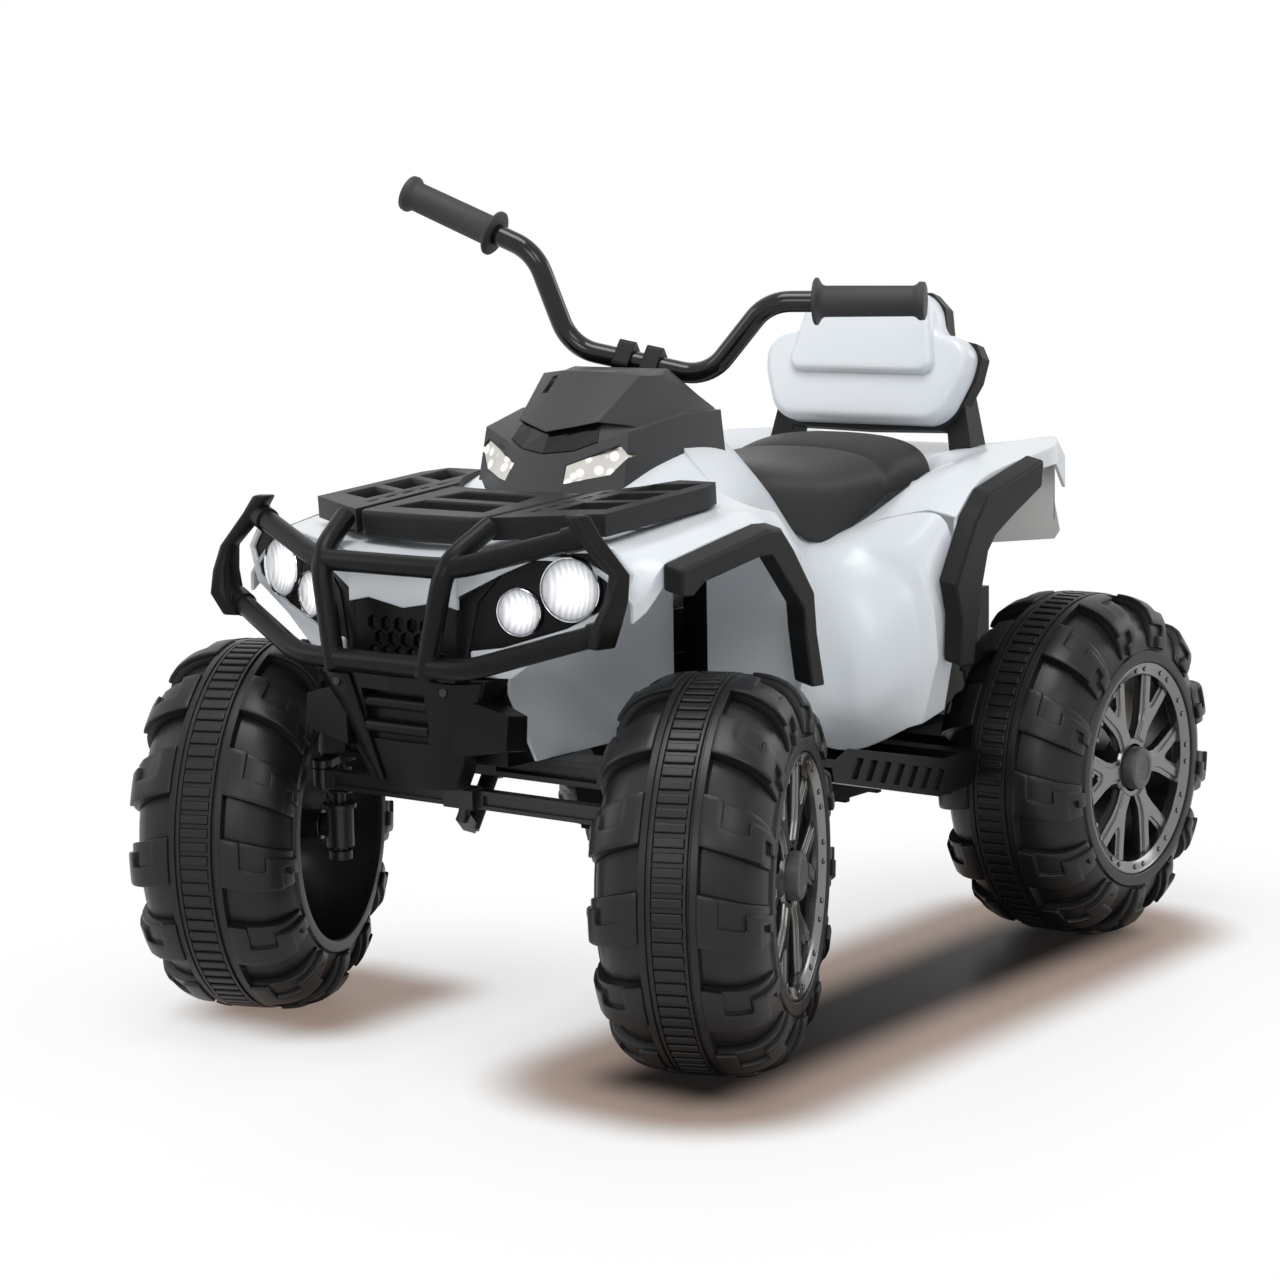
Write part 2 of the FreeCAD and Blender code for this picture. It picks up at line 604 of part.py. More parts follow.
def make_chassis_pan():
    """Open tub: high nose over the axle beam, deep belly under the seat and round the rear axle."""
    nose_bottom = BEAM_BOTTOM + BEAM_HEIGHT
    belly_bottom = AXLE_Z - 33.0
    upper = [(PAN_FRONT, PAN_TOP), (PAN_FRONT, nose_bottom), (FRONT_Y + 45.0, nose_bottom), (-240.0, 222.0),
             (-104.0, PAN_LEDGE), (400.0, PAN_LEDGE), (420.0, 250.0), (420.0, PAN_TOP)]
    lower = [(-104.0, 214.0), (-90.0, belly_bottom), (REAR_Y + 60.0, belly_bottom), (400.0, 214.0)]

    def inset(outline, by):
        ys = [y for y, z in outline]
        middle = (min(ys) + max(ys)) / 2
        return [(y + by if y < middle else y - by, z + by) for y, z in outline]

    wall = PAN_WALL
    width = PAN_HALF_WIDTH
    belly = BELLY_HALF_WIDTH
    outer = prism_x(upper, -width, width).fuse(prism_x(lower, -belly, belly))
    top = [(PAN_FRONT + wall, 340.0), (PAN_FRONT + wall, nose_bottom + wall),
           (FRONT_Y + 47.0, nose_bottom + wall), (-238.0, 222.0 + wall), (-104.0, PAN_FLOOR),
           (398.0, PAN_FLOOR), (416.0, 252.0), (416.0, 340.0)]
    deep = prism_x(inset(lower, wall), wall - belly, belly - wall)
    inner = prism_x(top, wall - width, width - wall).fuse(deep)
    pan = outer.cut(inner)
    holes = [rod(Vector(-200.0, REAR_Y, AXLE_Z), Vector(200.0, REAR_Y, AXLE_Z), AXLE_RADIUS + RUNNING_FIT)]
    holes.append(Part.makeCylinder(COLUMN_RADIUS + BUSH_WALL + 8.0, 260.0, COLUMN_FOOT, COLUMN_AXIS))
    for side in (-1, 1):
        over_pin = Vector(side * KINGPIN_X, FRONT_Y, nose_bottom - 1.0)
        holes.append(Part.makeCylinder(KINGPIN_RADIUS + 10.0, 40.0, over_pin, Z_AXIS))
    rib_z = (belly_bottom - 4.0, belly_bottom)
    ribs = [box((-belly, belly), (y, y + 8.0), rib_z) for y in range(-70, 300, 60)]
    return pan.fuse(ribs).cut(holes)


def make_rear_axle():
    end = TRACK_REAR / 2 + AXLE_END
    return rod(Vector(-end, REAR_Y, AXLE_Z), Vector(end, REAR_Y, AXLE_Z), AXLE_RADIUS)


def make_drive_unit():
    """Gearbox and motor on the left of the pan, with the output boss that meets the wheel's hub."""
    inner = BELLY_HALF_WIDTH
    outer = TRACK_REAR / 2 - HALF_TYRE - 12.0
    hub_end = TRACK_REAR / 2 + HUB_INNER - FACE_GAP
    about_axle = [(-105.0, -4.0), (-92.0, -22.0), (-10.0, -28.0), (34.0, -18.0), (40.0, 10.0), (20.0, 30.0),
                  (-92.0, 30.0)]
    case = prism_x([(REAR_Y + y, AXLE_Z + z) for y, z in about_axle], inner, outer)
    boss = rod(Vector(outer, REAR_Y, AXLE_Z), Vector(hub_end, REAR_Y, AXLE_Z), 24.0)
    motor_at = Vector(PAN_HALF_WIDTH + 4.0, REAR_Y - 70.0, AXLE_Z + 4.0)
    motor = Part.makeCylinder(20.0, 58.0, motor_at, -Y_AXIS)
    bore = rod(Vector(0, REAR_Y, AXLE_Z), Vector(hub_end + 1.0, REAR_Y, AXLE_Z), AXLE_RADIUS + RUNNING_FIT)
    unit = case.fuse([boss, motor]).cut(bore)
    pan_side = box((0, PAN_HALF_WIDTH), (0, 420.0), (PAN_LEDGE - FACE_GAP, 340.0))
    return unit.cut(pan_side)


def make_battery():
    floor = AXLE_Z - 33.0 + PAN_WALL
    body = box((-48.0, 48.0), (-30.0, 110.0), (floor, floor + 92.0))
    tabs = [box((x, x + 6.0), (20.0, 26.0), (floor + 92.0, floor + 99.0)) for x in (-34.0, 28.0)]
    return body.fuse(tabs)


def make_control_box():
    floor = AXLE_Z - 33.0 + PAN_WALL
    body = box((-40.0, 40.0), (150.0, 230.0), (floor, floor + 38.0))
    return body.makeFillet(4.0, [edge for edge in body.Edges if edge.BoundBox.ZLength > 30.0])


def make_footrest():
    """Sloping tray at the left with a raised outer wall and diagonal ribs on that wall."""
    outline = [(-116.0, 238.0), (-112.0, 224.0), (70.0, 180.0), (130.0, 182.0), (146.0, 214.0),
               (88.0, 214.0), (-80.0, 250.0)]
    tray = prism_x(outline, FOOTREST_INNER_X, FOOTREST_OUTER_X)
    hollow = [(-104.0, 260.0), (-100.0, 236.0), (70.0, 192.0), (122.0, 194.0), (130.0, 260.0)]
    tray = tray.cut(prism_x(hollow, FOOTREST_INNER_X + FOOTREST_WALL, FOOTREST_OUTER_X - FOOTREST_WALL))
    cuts = []
    for index in range(FOOTREST_RIBS):
        y = -86.0 + index * 24.0
        z = 224.0 - 0.236 * (y + 86.0)
        slot = [(y, z - 1.0), (y + 12.0, z - 4.0), (y + 24.0, z + 14.0), (y + 12.0, z + 17.0)]
        cuts.append(prism_x(slot, FOOTREST_OUTER_X - 3.0, FOOTREST_OUTER_X + 1.0))
    return tray.cut(cuts)


def pedal_hinge():
    return Vector(-215.0, 8.0, 212.5)


def make_throttle_pedal():
    """Ribbed plate on the right footrest, hinged at its heel, with its hinge barrel."""
    hinge = pedal_hinge()
    half = PEDAL_WIDTH / 2
    plate = box((-half, half), (-PEDAL_LENGTH, 0), (0, PEDAL_THICKNESS))
    cuts = []
    for index in range(6):
        y = -PEDAL_LENGTH + 10.0 + 14.0 * index
        cuts.append(box((-half + 6.0, half - 6.0), (y, y + 8.0), (PEDAL_THICKNESS - 2.0, PEDAL_THICKNESS)))
    barrel = rod(Vector(-half, 0, 2.0), Vector(half, 0, 2.0), 6.0)
    pedal = plate.cut(cuts).fuse(barrel)
    pedal.rotate(Vector(0, 0, 0), X_AXIS, -PEDAL_ANGLE)
    pedal.translate(hinge)
    return pedal


# Body panels

def ribbon(outline, wall):
    """Closed section of a thin skin: a half outline, its mirror image, and the same lowered by the wall."""
    over = [(-x, z) for x, z in reversed(outline[1:])] + outline
    edge = outline[-1][0]
    under = []
    shrink = 1.0 - wall / edge
    for x, z in reversed(over[1:-1]):
        under.append((x * shrink, z - wall))
    lip = outline[-1][1]
    return over + [(edge * shrink, lip)] + under + [(-edge * shrink, lip)]


def under_skin(stations, floor, lift=0.0):
    """Everything below a skin, down to a floor level, raised by lift."""
    sections = []
    for y, outline in stations:
        over = [(-x, z + lift) for x, z in reversed(outline[1:])] + [(x, z + lift) for x, z in outline]
        edge = outline[-1][0]
        sections.append(section_y(over + [(edge, floor), (-edge, floor)], y))
    return loft(sections)


FRONT_STATIONS = [
    (-422.0, [(0, 450.0), (92.0, 454.0), (150.0, 458.0), (186.0, 451.0), (205.0, 414.0), (205.0, 400.0)]),
    (-402.0, [(0, 454.0), (92.0, 458.0), (150.0, 462.0), (186.0, 455.0), (205.0, 418.0), (205.0, 404.0)]),
    (-345.0, [(0, 456.0), (92.0, 460.0), (150.0, 463.0), (188.0, 460.0), (205.0, 440.0), (205.0, 424.0)]),
    (-300.0, [(0, 460.0), (92.0, 464.0), (150.0, 466.0), (190.0, 466.0), (205.0, 454.0), (205.0, 438.0)]),
    (-240.0, [(0, 480.0), (88.0, 484.0), (140.0, 470.0), (188.0, 474.0), (205.0, 467.0), (205.0, 451.0)]),
    (-196.0, [(0, 500.0), (90.0, 506.0), (138.0, 474.0), (186.0, 482.0), (205.0, 477.0), (205.0, 461.0)]),
    (-138.3, [(0, 526.0), (92.0, 528.0), (140.0, 480.0), (184.0, 484.0), (205.0, 476.0), (205.0, 460.0)]),
]


def nose_outline():
    """Front view of the left cheek: the lamp surround, down to the skid plate."""
    return [(150.0, 464.0), (210.0, 466.0), (228.0, 444.0), (216.0, 412.0), (165.0, 386.0), (126.0, 360.0),
            (112.0, SKID_TOP + 1.5), (72.0, SKID_TOP + 1.5), (66.0, 366.0), (62.0, 408.0), (62.0, 453.0)]


POD_OUTLINE = [(72.0, 372.0), (104.0, 376.0), (165.0, 395.0), (210.0, 418.0), (221.0, 443.0), (207.0, 461.0),
               (150.0, 459.0), (106.0, 440.0), (82.0, 414.0)]
NOSE_CORNER = Vector(60.0, -424.0, 0)


def swept_plate(outline, depth, thickness):
    """Plate with a front view outline, left of the middle, turned back by the nose's sweep."""
    plate = prism_y(outline, NOSE_CORNER.y + depth, NOSE_CORNER.y + depth + thickness)
    return turned(plate, NOSE_CORNER, Z_AXIS, POD_SWEEP)


def lamp_places():
    return [(Vector(170.0, 0, 429.0), OUTER_LAMP_RADIUS), (Vector(122.0, 0, 408.0), INNER_LAMP_RADIUS)]


def make_lamp_pod():
    """Recessed tray with a round socket for each lamp, left side."""
    pod = swept_plate(POD_OUTLINE, 3.0, POD_THICKNESS)
    for place, radius in lamp_places():
        start = Vector(place.x, NOSE_CORNER.y - 30.0, place.z)
        socket = Part.makeCylinder(radius + SEAT_GAP, 80.0, start, Y_AXIS)
        pod = pod.cut(turned(socket, NOSE_CORNER, Z_AXIS, POD_SWEEP))
    return pod


def make_lamps():
    """Domed round lamp bodies that fill the pod sockets, left side."""
    lamps = []
    for place, radius in lamp_places():
        start = Vector(place.x, NOSE_CORNER.y - 6.0, place.z)
        lamp = Part.makeCylinder(radius, LAMP_DEPTH + 6.0, start, Y_AXIS)
        rim = [edge for edge in lamp.Edges if edge.BoundBox.YMax < start.y + 1.0]
        lamps.append(turned(lamp.makeFillet(5.0, rim), NOSE_CORNER, Z_AXIS, POD_SWEEP))
    return lamps


def make_front_body():
    """Hood and fenders as one lofted skin, with the nose and the inner arch walls."""
    skin = loft([section_y(ribbon(outline, SHELL), y) for y, outline in FRONT_STATIONS])
    ahead = swept_plate([(60.0, 380.0), (320.0, 380.0), (320.0, 480.0), (60.0, 480.0)], -120.0, 120.0)
    skin = skin.cut([ahead, mirrored(ahead)])
    pod_gap = swept_plate(POD_OUTLINE, -20.0, 20.0 + LAMP_DEPTH + 4.0)
    cheek = swept_plate(nose_outline(), 0.0, SHELL)
    brow = prism_y(both_halves([(0, 450.0), (63.0, 453.0), (63.0, 407.0), (40.0, 412.0), (0, 405.0)]),
                   NOSE_CORNER.y, NOSE_CORNER.y + SHELL)
    wall_foot = BEAM_BOTTOM + BEAM_HEIGHT + SEAT_GAP
    wall_front = PAN_FRONT + SEAT_GAP
    wall = prism_x([(wall_front, 560.0), (wall_front, 332.0), (-360.0, wall_foot), (-300.0, wall_foot),
                    (-236.0, 330.0), (-146.0, 330.0), (-146.0, 560.0)], INNER_PANEL_X - SHELL, INNER_PANEL_X)
    wall = wall.common(under_skin(FRONT_STATIONS, FLOOR_LEVEL))
    body = skin.fuse([cheek, mirrored(cheek), brow, wall, mirrored(wall)]).cut([pod_gap, mirrored(pod_gap)])
    return body.cut(column_tunnel())


CENTRE_STATIONS = [
    (-138.0, [(0, 541.0), (82.0, 539.0), (97.0, 527.0), (140.0, 479.0), (196.0, 472.0), (224.0, 420.0),
              (232.0, 350.0), (222.0, 300.0)]),
    (-96.0, [(0, 544.0), (80.0, 541.0), (100.0, 522.0), (134.0, 474.0), (180.0, 440.0), (206.0, 384.0),
             (214.0, 318.0), (204.0, 268.0)]),
    (-55.0, [(0, 542.0), (78.0, 538.0), (102.0, 508.0), (128.0, 452.0), (164.0, 402.0), (190.0, 344.0),
             (196.0, 290.0), (188.0, 246.0)]),
    (-12.0, [(0, 500.0), (80.0, 498.0), (104.0, 480.0), (118.0, 428.0), (148.0, 372.0), (172.0, 316.0),
             (180.0, 268.0), (174.0, 232.0)]),
    (40.0, [(0, 428.0), (88.0, 428.0), (104.0, 418.0), (116.0, 398.0), (142.0, 356.0), (168.0, 306.0),
            (176.0, 258.0), (170.0, 222.0)]),
    (66.0, [(0, 424.0), (89.0, 424.0), (104.0, 417.0), (120.0, 404.0), (152.0, 376.0), (184.0, 330.0),
            (190.0, 276.0), (180.0, 228.0)]),
    (90.0, [(0, 424.0), (90.0, 424.0), (104.0, 419.0), (128.0, 414.0), (172.0, 400.0), (206.0, 372.0),
            (210.0, 300.0), (196.0, 240.0)]),
    (97.0, [(0, 424.0), (91.0, 424.0), (105.0, 421.0), (132.0, 420.0), (182.0, 414.0), (220.0, 396.0),
            (226.0, 310.0), (208.0, 244.0)]),
    (128.0, [(0, 424.0), (92.0, 424.0), (108.0, 428.0), (150.0, 440.0), (196.0, 450.0), (227.0, 444.0),
             (REAR_EDGE_X, 330.0), (214.0, 254.0)]),
]


def make_centre_body():
    """Tank and side skirts as one hollow shell, open below and under the seat."""
    stations = CENTRE_STATIONS

    def closed(outline, inset, drop):
        half = [(max(x - inset, 0), z - drop) for x, z in outline]
        bottom = half[-1][1] - (30.0 if drop else 0)
        half = half[:-1] + [(half[-1][0], bottom)]
        return [(-x, z) for x, z in reversed(half[1:])] + half

    outer = loft([section_y(closed(outline, 0, 0), y) for y, outline in stations])
    first, last = stations[0][0] + SHELL, stations[-1][0] - SHELL
    inner = loft([section_y(closed(outline, SHELL, SHELL), min(max(y, first), last))
                  for y, outline in stations])
    body = outer.cut(inner)
    half_slot = PAN_HALF_WIDTH + SEAT_GAP
    pan_slot = box((-half_slot, half_slot), (-200.0, 200.0), (100.0, PAN_TOP + SEAT_GAP))
    return body.cut([column_tunnel(), pan_slot]).fuse(screw_bosses(60.0))


def screw_bosses(y):
    """Two posts under a body panel that stand on the pan's ledge."""
    post = rod(Vector(BOSS_X, y, PAN_FLOOR + SEAT_GAP), Vector(BOSS_X, y, BOSS_TOP), BOSS_RADIUS)
    return [post, mirrored(post)]


REAR_STATIONS = [
    (128.3, [(0, 424.0), (92.0, 424.0), (108.0, 428.0), (150.0, 440.0), (196.0, 450.0),
             (REAR_EDGE_X, 444.0), (REAR_EDGE_X, 430.0)]),
    (157.0, [(0, 424.0), (92.0, 424.0), (108.0, 436.0), (150.0, 460.0), (192.0, 474.0),
             (REAR_EDGE_X, 470.0), (REAR_EDGE_X, 454.0)]),
    (190.0, [(0, 424.0), (92.0, 424.0), (108.0, 446.0), (150.0, 480.0), (190.0, 490.0),
             (REAR_EDGE_X, 484.0), (REAR_EDGE_X, 468.0)]),
    (285.0, [(0, 424.0), (92.0, 426.0), (110.0, 464.0), (150.0, 490.0), (190.0, 500.0),
             (REAR_EDGE_X, 494.0), (REAR_EDGE_X, 478.0)]),
    (300.0, [(0, 484.0), (92.0, 485.0), (110.0, 489.0), (150.0, 494.0), (190.0, 501.0),
             (REAR_EDGE_X, 496.0), (REAR_EDGE_X, 478.0)]),
    (340.0, [(0, 486.0), (92.0, 488.0), (110.0, 492.0), (150.0, 496.0), (188.0, 502.0),
             (222.0, 498.0), (222.0, 480.0)]),
    (440.0, [(0, 486.0), (80.0, 488.0), (100.0, 490.0), (130.0, 494.0), (150.0, 498.0),
             (162.0, 498.0), (162.0, 470.0)]),
    (478.0, [(0, 466.0), (76.0, 468.0), (96.0, 470.0), (124.0, 474.0), (142.0, 476.0),
             (152.0, 474.0), (152.0, 440.0)]),
]


def make_rear_body():
    """Deck and rear fenders as one lofted skin, with the inner arch walls and the tail."""
    skin = loft([section_y(ribbon(outline, SHELL), y) for y, outline in REAR_STATIONS])
    wall = prism_x([(130.0, 560.0), (130.0, 300.0), (196.0, 372.0), (280.0, 408.0), (TAIL_Y, 400.0),
                    (TAIL_Y, 560.0)], REAR_WALL_X - SHELL, REAR_WALL_X)
    half_tail = [(0, 560.0), (REAR_WALL_X, 560.0), (REAR_WALL_X, 404.0), (90.0, 384.0), (0, 380.0)]
    tail = prism_y(both_halves(half_tail), TAIL_Y - SHELL, TAIL_Y)
    below = under_skin(REAR_STATIONS, FLOOR_LEVEL)
    walls = [wall.common(below), mirrored(wall).common(below), tail.common(below)]
    return skin.fuse(walls + screw_bosses(240.0))


def make_flare(band, inner_band, edge_x, width):
    """Fender flare on the left: an arched band drawn out sideways, sloping down outwards, hollow inside."""
    inner_x = edge_x + SEAT_GAP

    def slice_at(outline, out):
        drop = FLARE_DROP * out / width
        return [Vector(inner_x + out, y, z - drop) for y, z in outline]

    hollow = loft([slice_at(inner_band, -1.0), slice_at(inner_band, width - FLARE_WALL)])
    return loft([slice_at(band, 0), slice_at(band, width)]).cut(hollow)


FRONT_FLARE = [(-366.0, 442.0), (-350.0, 452.0), (-205.0, 482.0), (-170.0, 476.0), (-146.0, 416.0),
               (-139.0, 318.0), (-158.0, 322.0), (-171.0, 332.0), (-184.0, 392.0), (-220.0, 440.0),
               (-316.0, 426.0), (-330.0, 412.0), (-366.0, 413.0)]
FRONT_FLARE_HOLLOW = [(-380.0, 435.0), (-352.0, 447.5), (-206.0, 477.0), (-173.0, 471.0), (-150.5, 415.0),
                      (-144.0, 310.0), (-200.0, 310.0), (-200.0, 392.0), (-230.0, 430.0),
                      (-330.0, 400.0), (-380.0, 400.0)]
REAR_FLARE = [(330.0, 500.0), (290.0, 499.0), (157.0, 470.0), (130.0, 446.0), (93.0, 387.0), (104.0, 307.0),
              (128.0, 306.0), (142.0, 330.0), (152.0, 378.0), (168.0, 414.0), (206.0, 434.0), (276.0, 462.0),
              (330.0, 468.0)]
REAR_FLARE_HOLLOW = [(340.0, 495.0), (290.0, 494.0), (159.0, 465.0), (134.0, 442.0), (98.0, 387.0),
                     (109.0, 300.0), (160.0, 300.0), (164.0, 376.0), (178.0, 404.0), (210.0, 424.0),
                     (280.0, 450.0), (340.0, 455.0)]


def make_grille():
    """Plate behind the nose opening with a field of hexagonal cells."""
    foot = SKID_TOP + 1.0
    half = [(0, 410.0), (40.0, 416.0), (58.0, 410.0), (58.0, foot), (0, foot)]
    plate = prism_y(both_halves(half), NOSE_CORNER.y + SHELL, NOSE_CORNER.y + SHELL + 6.0)
    pitch = math.sqrt(3.0) * GRILLE_CELL + GRILLE_RIB
    cells = []
    for row in range(3):
        count = 6 - row % 2
        z = 363.0 + row * pitch * math.sqrt(3.0) / 2
        for index in range(count):
            x = (index - (count - 1) / 2) * pitch
            corners = []
            for corner in range(6):
                turn = math.radians(60.0 * corner + 30.0)
                corners.append((x + GRILLE_CELL * math.cos(turn), z + GRILLE_CELL * math.sin(turn)))
            cells.append(prism_y(corners, NOSE_CORNER.y, NOSE_CORNER.y + 20.0))
    return plate.cut(cells)


def make_skid_plate():
    """Sloping front guard with a roller fairlead in a recess and a claw at each side."""
    def slab(half, z):
        return [Vector(x, y, z) for x, y in both_halves(half)]

    def slice_x(outline, x):
        return [Vector(x, y, z) for y, z in outline]

    half, low_half = SKID_HALF, SKID_HALF / 2
    top = slab([(0, -446.0), (half - 26.0, -442.0), (half, -428.0), (half, SKID_REAR),
                (0, SKID_REAR)], SKID_TOP)
    low = slab([(0, -424.0), (low_half - 14.0, -420.0), (low_half, -412.0), (low_half, SKID_REAR),
                (0, SKID_REAR)], SKID_BOTTOM)
    claw_tip = [(-428.0, 290.0), (-400.0, 286.0), (-398.0, 316.0), (-424.0, 320.0)]
    claw_root = [(-434.0, 280.0), (-398.0, 276.0), (-398.0, 336.0), (-436.0, 336.0)]
    claw = loft([slice_x(claw_tip, CLAW_X), slice_x(claw_root, CLAW_X - CLAW_LENGTH)])
    guard = loft([top, low]).fuse([claw, mirrored(claw)])
    recess = box((-36.0, 36.0), (-470.0, -424.0), (288.0, 334.0))
    open_top = slab([(0, -436.0), (half - 30.0, -432.0), (half - 8.0, -422.0), (half - 8.0, -390.0),
                     (0, -390.0)], SKID_TOP + 4.0)
    open_low = slab([(0, -414.0), (low_half - 18.0, -411.0), (low_half - 8.0, -408.0),
                     (low_half - 8.0, -390.0), (0, -390.0)], SKID_BOTTOM + 10.0)
    hollow = loft([open_top, open_low])
    guard = guard.cut(recess.cut(hollow))
    rollers = []
    for z in (300.0, 322.0):
        rollers.append(rod(Vector(-36.0, -431.0, z), Vector(36.0, -431.0, z), 6.0))
    backing = box((-36.0, 36.0), (-427.0, -420.0), (284.0, 338.0))
    return guard.cut(hollow).fuse([backing] + rollers)


def make_bull_bar():
    """Bent front bar: brow tube, lower tube, uprights, end blocks and two lugs on the skid plate."""
    brow = [Vector(188.0, -404.0, 476.0), Vector(78.0, -446.0, 446.0), Vector(-78.0, -446.0, 446.0),
            Vector(-188.0, -404.0, 476.0)]
    lower = [Vector(216.0, -408.0, 398.0), Vector(96.0, -455.0, 361.0), Vector(-96.0, -455.0, 361.0),
             Vector(-216.0, -408.0, 398.0)]
    upright = [Vector(52.0, -456.0, 352.0), Vector(72.0, -450.0, 450.0), Vector(84.0, -402.0, 479.0)]
    post = bent_tube(upright, BULL_BEND, BULL_TUBE_RADIUS)
    levels = ((492.0, ((170.0, -414.0), (186.0, -416.0), (194.0, -402.0), (172.0, -392.0))),
              (444.0, ((206.0, -422.0), (228.0, -424.0), (234.0, -404.0), (208.0, -396.0))),
              (388.0, ((198.0, -424.0), (220.0, -426.0), (226.0, -404.0), (200.0, -398.0))))
    end = loft([[Vector(x, y, z) for x, y in outline] for z, outline in levels])
    lug = box((LUG_X - 10.0, LUG_X + 10.0), (-452.0, -428.0), (SKID_TOP + SEAT_GAP, LUG_TOP))
    low_tube = bent_tube(lower, BULL_BEND, BULL_TUBE_RADIUS)
    sides = []
    for piece in (post, end, lug):
        sides += [piece, mirrored(piece)]
    return bent_tube(brow, BULL_BEND, BULL_TUBE_RADIUS).fuse([low_tube] + sides)


def on_rack(shape):
    """Tips a shape that was made level with the rack's front edge onto the rack's slope."""
    return turned(shape, Vector(0, RACK_FRONT, RACK_LEVEL), X_AXIS, RACK_SLOPE)


def rack_screws(gap):
    """Screw heads sunk in the level rack over its feet; with a gap, the recesses that take them."""
    top = RACK_LEVEL + RACK_THICKNESS
    screws = []
    for y in RACK_SCREW_Y:
        seat = Vector(RACK_SCREW_X, y, top - SCREW_HEAD_HEIGHT - SEAT_GAP - gap)
        height = SCREW_HEAD_HEIGHT + (2 * SEAT_GAP + gap if gap else 0)
        head = Part.makeCylinder(SCREW_HEAD_RADIUS + gap, height, seat, Z_AXIS)
        screws += [head, mirrored(head)]
    return screws


def make_rack():
    """Luggage rack: two slotted wings and a ribbed middle on a frame that stands on the hood."""
    outline = both_halves([(0, RACK_FRONT), (69.0, -399.0), (92.0, -388.0), (167.0, -348.0), (168.0, -200.0),
                           (158.0, -172.0), (118.0, -172.0), (104.0, -214.0), (70.0, -262.0), (0, -268.0)])
    plate = prism_z(outline, 0, RACK_THICKNESS)
    cuts = []
    for index in range(3):
        y = -352.0 + index * 52.0
        outline = [(112.0, y + 10.0), (150.0, y + 26.0), (150.0, y + 62.0), (112.0, y + 46.0)]
        window = prism_z(outline, -1.0, RACK_THICKNESS + 1.0)
        cuts += [window, mirrored(window)]
    for index in range(2):
        y = -372.0 + index * 52.0
        half = [(0, y), (52.0 - 4.0 * index, y), (46.0 - 4.0 * index, y + 36.0), (0, y + 36.0)]
        cuts.append(prism_z(both_halves(half), -1.0, RACK_THICKNESS + 1.0))
    groove_outline = [(74.0, -384.0), (88.0, -378.0), (92.0, -240.0), (84.0, -236.0)]
    groove = prism_z(groove_outline, RACK_THICKNESS - 5.0, RACK_THICKNESS + 1.0)
    cuts += [groove, mirrored(groove)]
    plate = plate.cut(cuts)
    plate.translate(Vector(0, 0, RACK_LEVEL))
    plate = on_rack(plate)
    feet = [box((x, x + 14.0), (y, y + 26.0), (440.0, 488.0)) for x, y in ((96.0, -376.0), (96.0, -300.0))]
    feet += [mirrored(foot) for foot in feet]
    recesses = [on_rack(recess) for recess in rack_screws(SEAT_GAP)]
    return plate.fuse(feet).cut(recesses + [under_skin(FRONT_STATIONS, FLOOR_LEVEL, SEAT_GAP)])


def make_cowl():
    """Headlight cowl: a chevron fronted shell that narrows to the cap."""
    levels = [(490.0, [(0, -248.0), (42.0, -244.0), (86.0, -216.0),
                       (98.0, -140.0), (96.0, -66.0), (0, -66.0)]),
              (536.0, [(0, -224.0), (50.0, -212.0), (84.0, -204.0),
                       (97.0, -134.0), (94.0, -64.0), (0, -64.0)]),
              (557.0, [(0, -214.0), (46.0, -202.0), (70.0, -176.0),
                       (86.0, -126.0), (84.0, -70.0), (0, -70.0)]),
              (597.0, [(0, -160.0), (52.0, -154.0), (61.0, -150.0),
                       (62.0, -128.0), (58.0, -106.0), (0, -106.0)])]

    def level(outline, z, inset):
        half = [(max(x - inset, 0), y + (inset if y < -110.0 else -inset)) for x, y in outline]
        return [Vector(x, y, z) for x, y in both_halves(half)]

    outer = loft([level(outline, z, 0) for z, outline in levels])
    inner = loft([level(outline, z - SHELL, SHELL) for z, outline in levels])
    shell = outer.cut(inner)
    hood = under_skin(FRONT_STATIONS, FLOOR_LEVEL, SEAT_GAP)
    return shell.cut([hood, centre_block(SEAT_GAP), column_tunnel()])


def cowl_with_lenses():
    """The cowl with its openings, and the two slanted light strips that fill them flush."""
    shell = make_cowl()
    lens_outline = [(34.0, 499.0), (31.0, 515.0), (78.0, 533.0), (86.0, 524.0), (72.0, 507.0)]
    window = prism_y(lens_outline, -300.0, -150.0)
    inner = []
    for x, z in lens_outline:
        across = SEAT_GAP if x < 60.0 else -SEAT_GAP
        rise = SEAT_GAP if z < 512.0 else -SEAT_GAP
        inner.append((x + across, z + rise))
    lens = shell.common(prism_y(inner, -300.0, -150.0))
    holes = [window, mirrored(window)]
    button_hole = Part.makeCylinder(BUTTON_RADIUS + FACE_GAP, 40.0, Vector(0, 0, -20.0))
    pocket = centred_box(ROCKER_WIDTH + 2 * ROCKER_GAP, ROCKER_LENGTH + 2 * ROCKER_GAP, 40.0)
    for hole, x in ((button_hole, POWER_X), (pocket, DIRECTION_X), (pocket, SPEED_X)):
        holes.append(dash_solid(hole, x))
    return shell.cut(holes), pair(lens)


def centred_box(width, length, height):
    return Part.makeBox(width, length, height, Vector(-width / 2, -length / 2, -height / 2))


def dash_solid(shape, x):
    """Stands a piece, made about the origin with its outer face up, on the dash face."""
    slope = DASH_HIGH - DASH_LOW
    tilt = math.degrees(math.atan2(slope.z, -slope.y))
    copy = turned(shape, Vector(0, 0, 0), X_AXIS, -tilt)
    copy.translate(Vector(x, 0, 0) + DASH_LOW + slope * 0.5)
    return copy


